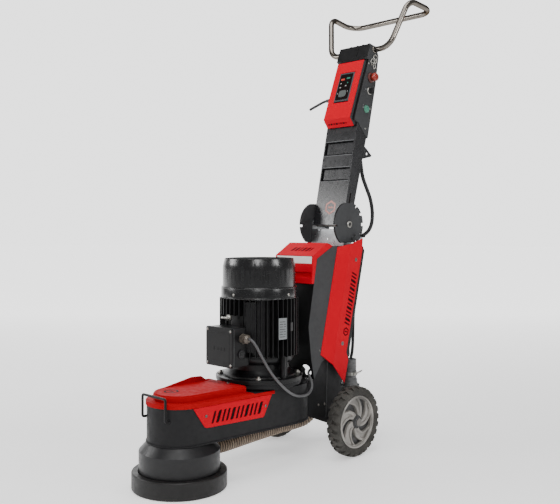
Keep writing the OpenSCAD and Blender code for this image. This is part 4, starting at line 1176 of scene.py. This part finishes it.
def clamp_lever():
    lever = Shape(PORT @ at(0, 0, 252))
    lever.hoop([(25.2, 1), (28.4, 0), (28.4, 12), (25.2, 11)])
    handle = [(27, -6, 6), (34, -3, 8), (38, 6, 12), (38.5, 18, 15), (37, 29, 16)]
    lever.tube(handle, [3, 3.4, 3.4, 3.0, 2.2], 12)
    lever.tube([(30, -9, 1), (30, -9, 11)], 3.2, 14)
    lever.tube([(34, -2, 1), (34, -2, 11)], 2.6, 14)
    lever.done("clamp_lever", "frame", zinc, "steel", ["port_clamp"], sharp=45)


def foot_details():
    """The folds and bolts on each side of the column's foot, and the washers under the cover's screws."""
    folds, bolts = Shape(), Shape()
    for side in BOTH_SIDES:
        folds.place = bolts.place = side @ HEAD
        folds.tube([(90.6, 607, 340), (90.8, 603, 250), (90.6, 599, 128)], 1.5, 10)
        folds.tube([(93.6, 574, 333), (93.7, 588, 338), (93.6, 599, 343)], 1.2, 10)
        for x, y, z in ((90.5, 558, 179), (90.5, 591, 177), (93.5, 562, 372)):
            button_screw(bolts, at(x, y, z) @ ALONG_X, 4.5, 3)
        for y, z in ((744, 694), (665, 390)):
            bolts.lathe([(7.5, 0), (7.5, 0.8), (5, 0.8)], at(COVER_FACE, y, z) @ ALONG_X, 32)
    folds.done("foot_folds", "frame", panel_paint, "dark_grey_paint")
    bolts.done("foot_bolts", "frame", dull_zinc, "steel")


def cable_boot():
    """The rubber crescent where the motor's cable enters the column's foot."""
    boot = Shape(HEAD @ at(61, 0, 301) @ FACING_FRONT)
    boot.prism(arc(0, 0, 23, 140, 330, 19) + arc(4, -3, 12, 330, 140, 19), -530, -524)
    boot.done("cable_boot", "frame", black_plastic, "cable_black", bevel=0.6)


cover_trims()
handlebar()
front_guard()
screws_for("case_screws", "socket_screws", dull_zinc)
screws_for("motor_screws", "cowl_screws", zinc)
for make in (flange_bolts, earth_strap, emergency_stop, selector, start_button, control_labels, box_screws,
             snap_hook, keypad, side_marks, lamp_marks, lid_marks, mast_marks, pockets, mast_slot, top_caps,
             pin_caps, name_plates, motor_castings, lifting_eye, cowl_beads, box_lid_panel, box_gasket,
             blank_plug, gland_nut, port_pipe, port_bend, clamp_lever, foot_details, cable_boot):
    make()

# ---------- studio ----------

BACKDROP = (-0.698, 0.716, 0.0)  # the way the camera looks
BACKDROP_LIGHT = 2.4
ROOM_LIGHT = 0.26
FLOOR_GLOW_NEAR = 0.6
FLOOR_GLOW_FAR = 2.0
FLOOR_HALF = 30.0
WHITE = (1.0, 1.0, 1.0, 1.0)
# Name, place, power, width, height and the point that the lamp looks at, in metres and watts
LAMPS = (
    ("overhead", (0.3, -0.8, 3.9), 90, 2.6, 2.6, (0, 0, 0.4)),
    ("mast_glare", (-2.3, -1.9, 1.65), 36, 1.4, 0.6, (0, 0.25, 0.95)),
    ("strip_front", (1.6, -2.2, 2.0), 16, 0.9, 0.4, (0, -0.14, 0.7)),
    ("strip_right", (2.4, 0.38, 1.65), 14, 0.7, 0.4, (0, -0.14, 0.7)),
    ("fill", (2.6, -2.6, 3.2), 40, 1.6, 1.6, (0, 0, 0.6)),
)


def towards_backdrop(tree, direction):
    """How far a direction or a place lies towards the backdrop, as a socket."""
    dot = tree.nodes.new("ShaderNodeVectorMath")
    dot.operation = "DOT_PRODUCT"
    dot.inputs[1].default_value = BACKDROP
    tree.links.new(direction, dot.inputs[0])
    return dot.outputs["Value"]


def room_light():
    """Soft light from all round, and a bright backdrop behind the machine."""
    world = bpy.data.worlds.new("studio")
    world.use_nodes = True
    tree = world.node_tree
    direction = tree.nodes.new("ShaderNodeTexCoord").outputs["Generated"]
    lobe = tree.nodes.new("ShaderNodeMapRange")
    lobe.interpolation_type = "SMOOTHSTEP"
    ends = {"From Min": 0.60, "From Max": 0.86, "To Min": ROOM_LIGHT, "To Max": BACKDROP_LIGHT}
    for name, value in ends.items():
        lobe.inputs[name].default_value = value
    tree.links.new(towards_backdrop(tree, direction), lobe.inputs["Value"])
    background = tree.nodes["Background"]
    background.inputs["Color"].default_value = WHITE
    tree.links.new(lobe.outputs["Result"], background.inputs["Strength"])
    bpy.context.scene.world = world


def floor_paint():
    """Pale paint that glows more with distance, until the floor meets the backdrop without a line."""
    t = Nodes("floor_paint")
    away = towards_backdrop(t.tree, t.coord)
    near, far = t.ramp(away, -2.6, -0.8, 0.2, 1.0), t.ramp(away, 0.2, 4.5, FLOOR_GLOW_NEAR, FLOOR_GLOW_FAR)
    pale = t.mix(t.ramp(t.noise(1.5), 0.3, 0.7), (0.80, 0.80, 0.80), (0.84, 0.84, 0.84))
    t.put(t.shader, {"Base Color": pale, "Roughness": 0.8, "Specular IOR Level": 0.1, "Emission Color": WHITE,
                     "Emission Strength": t.times(near, far)})
    return t.mat


def studio_floor():
    mesh = bpy.data.meshes.new("floor")
    bm = bmesh.new()
    corners = [(x * FLOOR_HALF, y * FLOOR_HALF, 0) for x, y in ((-1, -1), (1, -1), (1, 1), (-1, 1))]
    bm.faces.new([bm.verts.new(p) for p in corners])
    bm.to_mesh(mesh)
    bm.free()
    mesh.materials.append(floor_paint())
    floor = add_object("floor", mesh)


def lamps():
    for name, place, power, wide, high, aim in LAMPS:
        data = bpy.data.lights.new(name, "AREA")
        data.energy = power
        data.shape = "RECTANGLE"
        data.size = wide
        data.size_y = high
        lamp = add_object(name, data)
        lamp.location = place
        lamp.rotation_euler = (Vector(aim) - Vector(place)).to_track_quat("-Z", "Y").to_euler()


room_light()
studio_floor()
lamps()
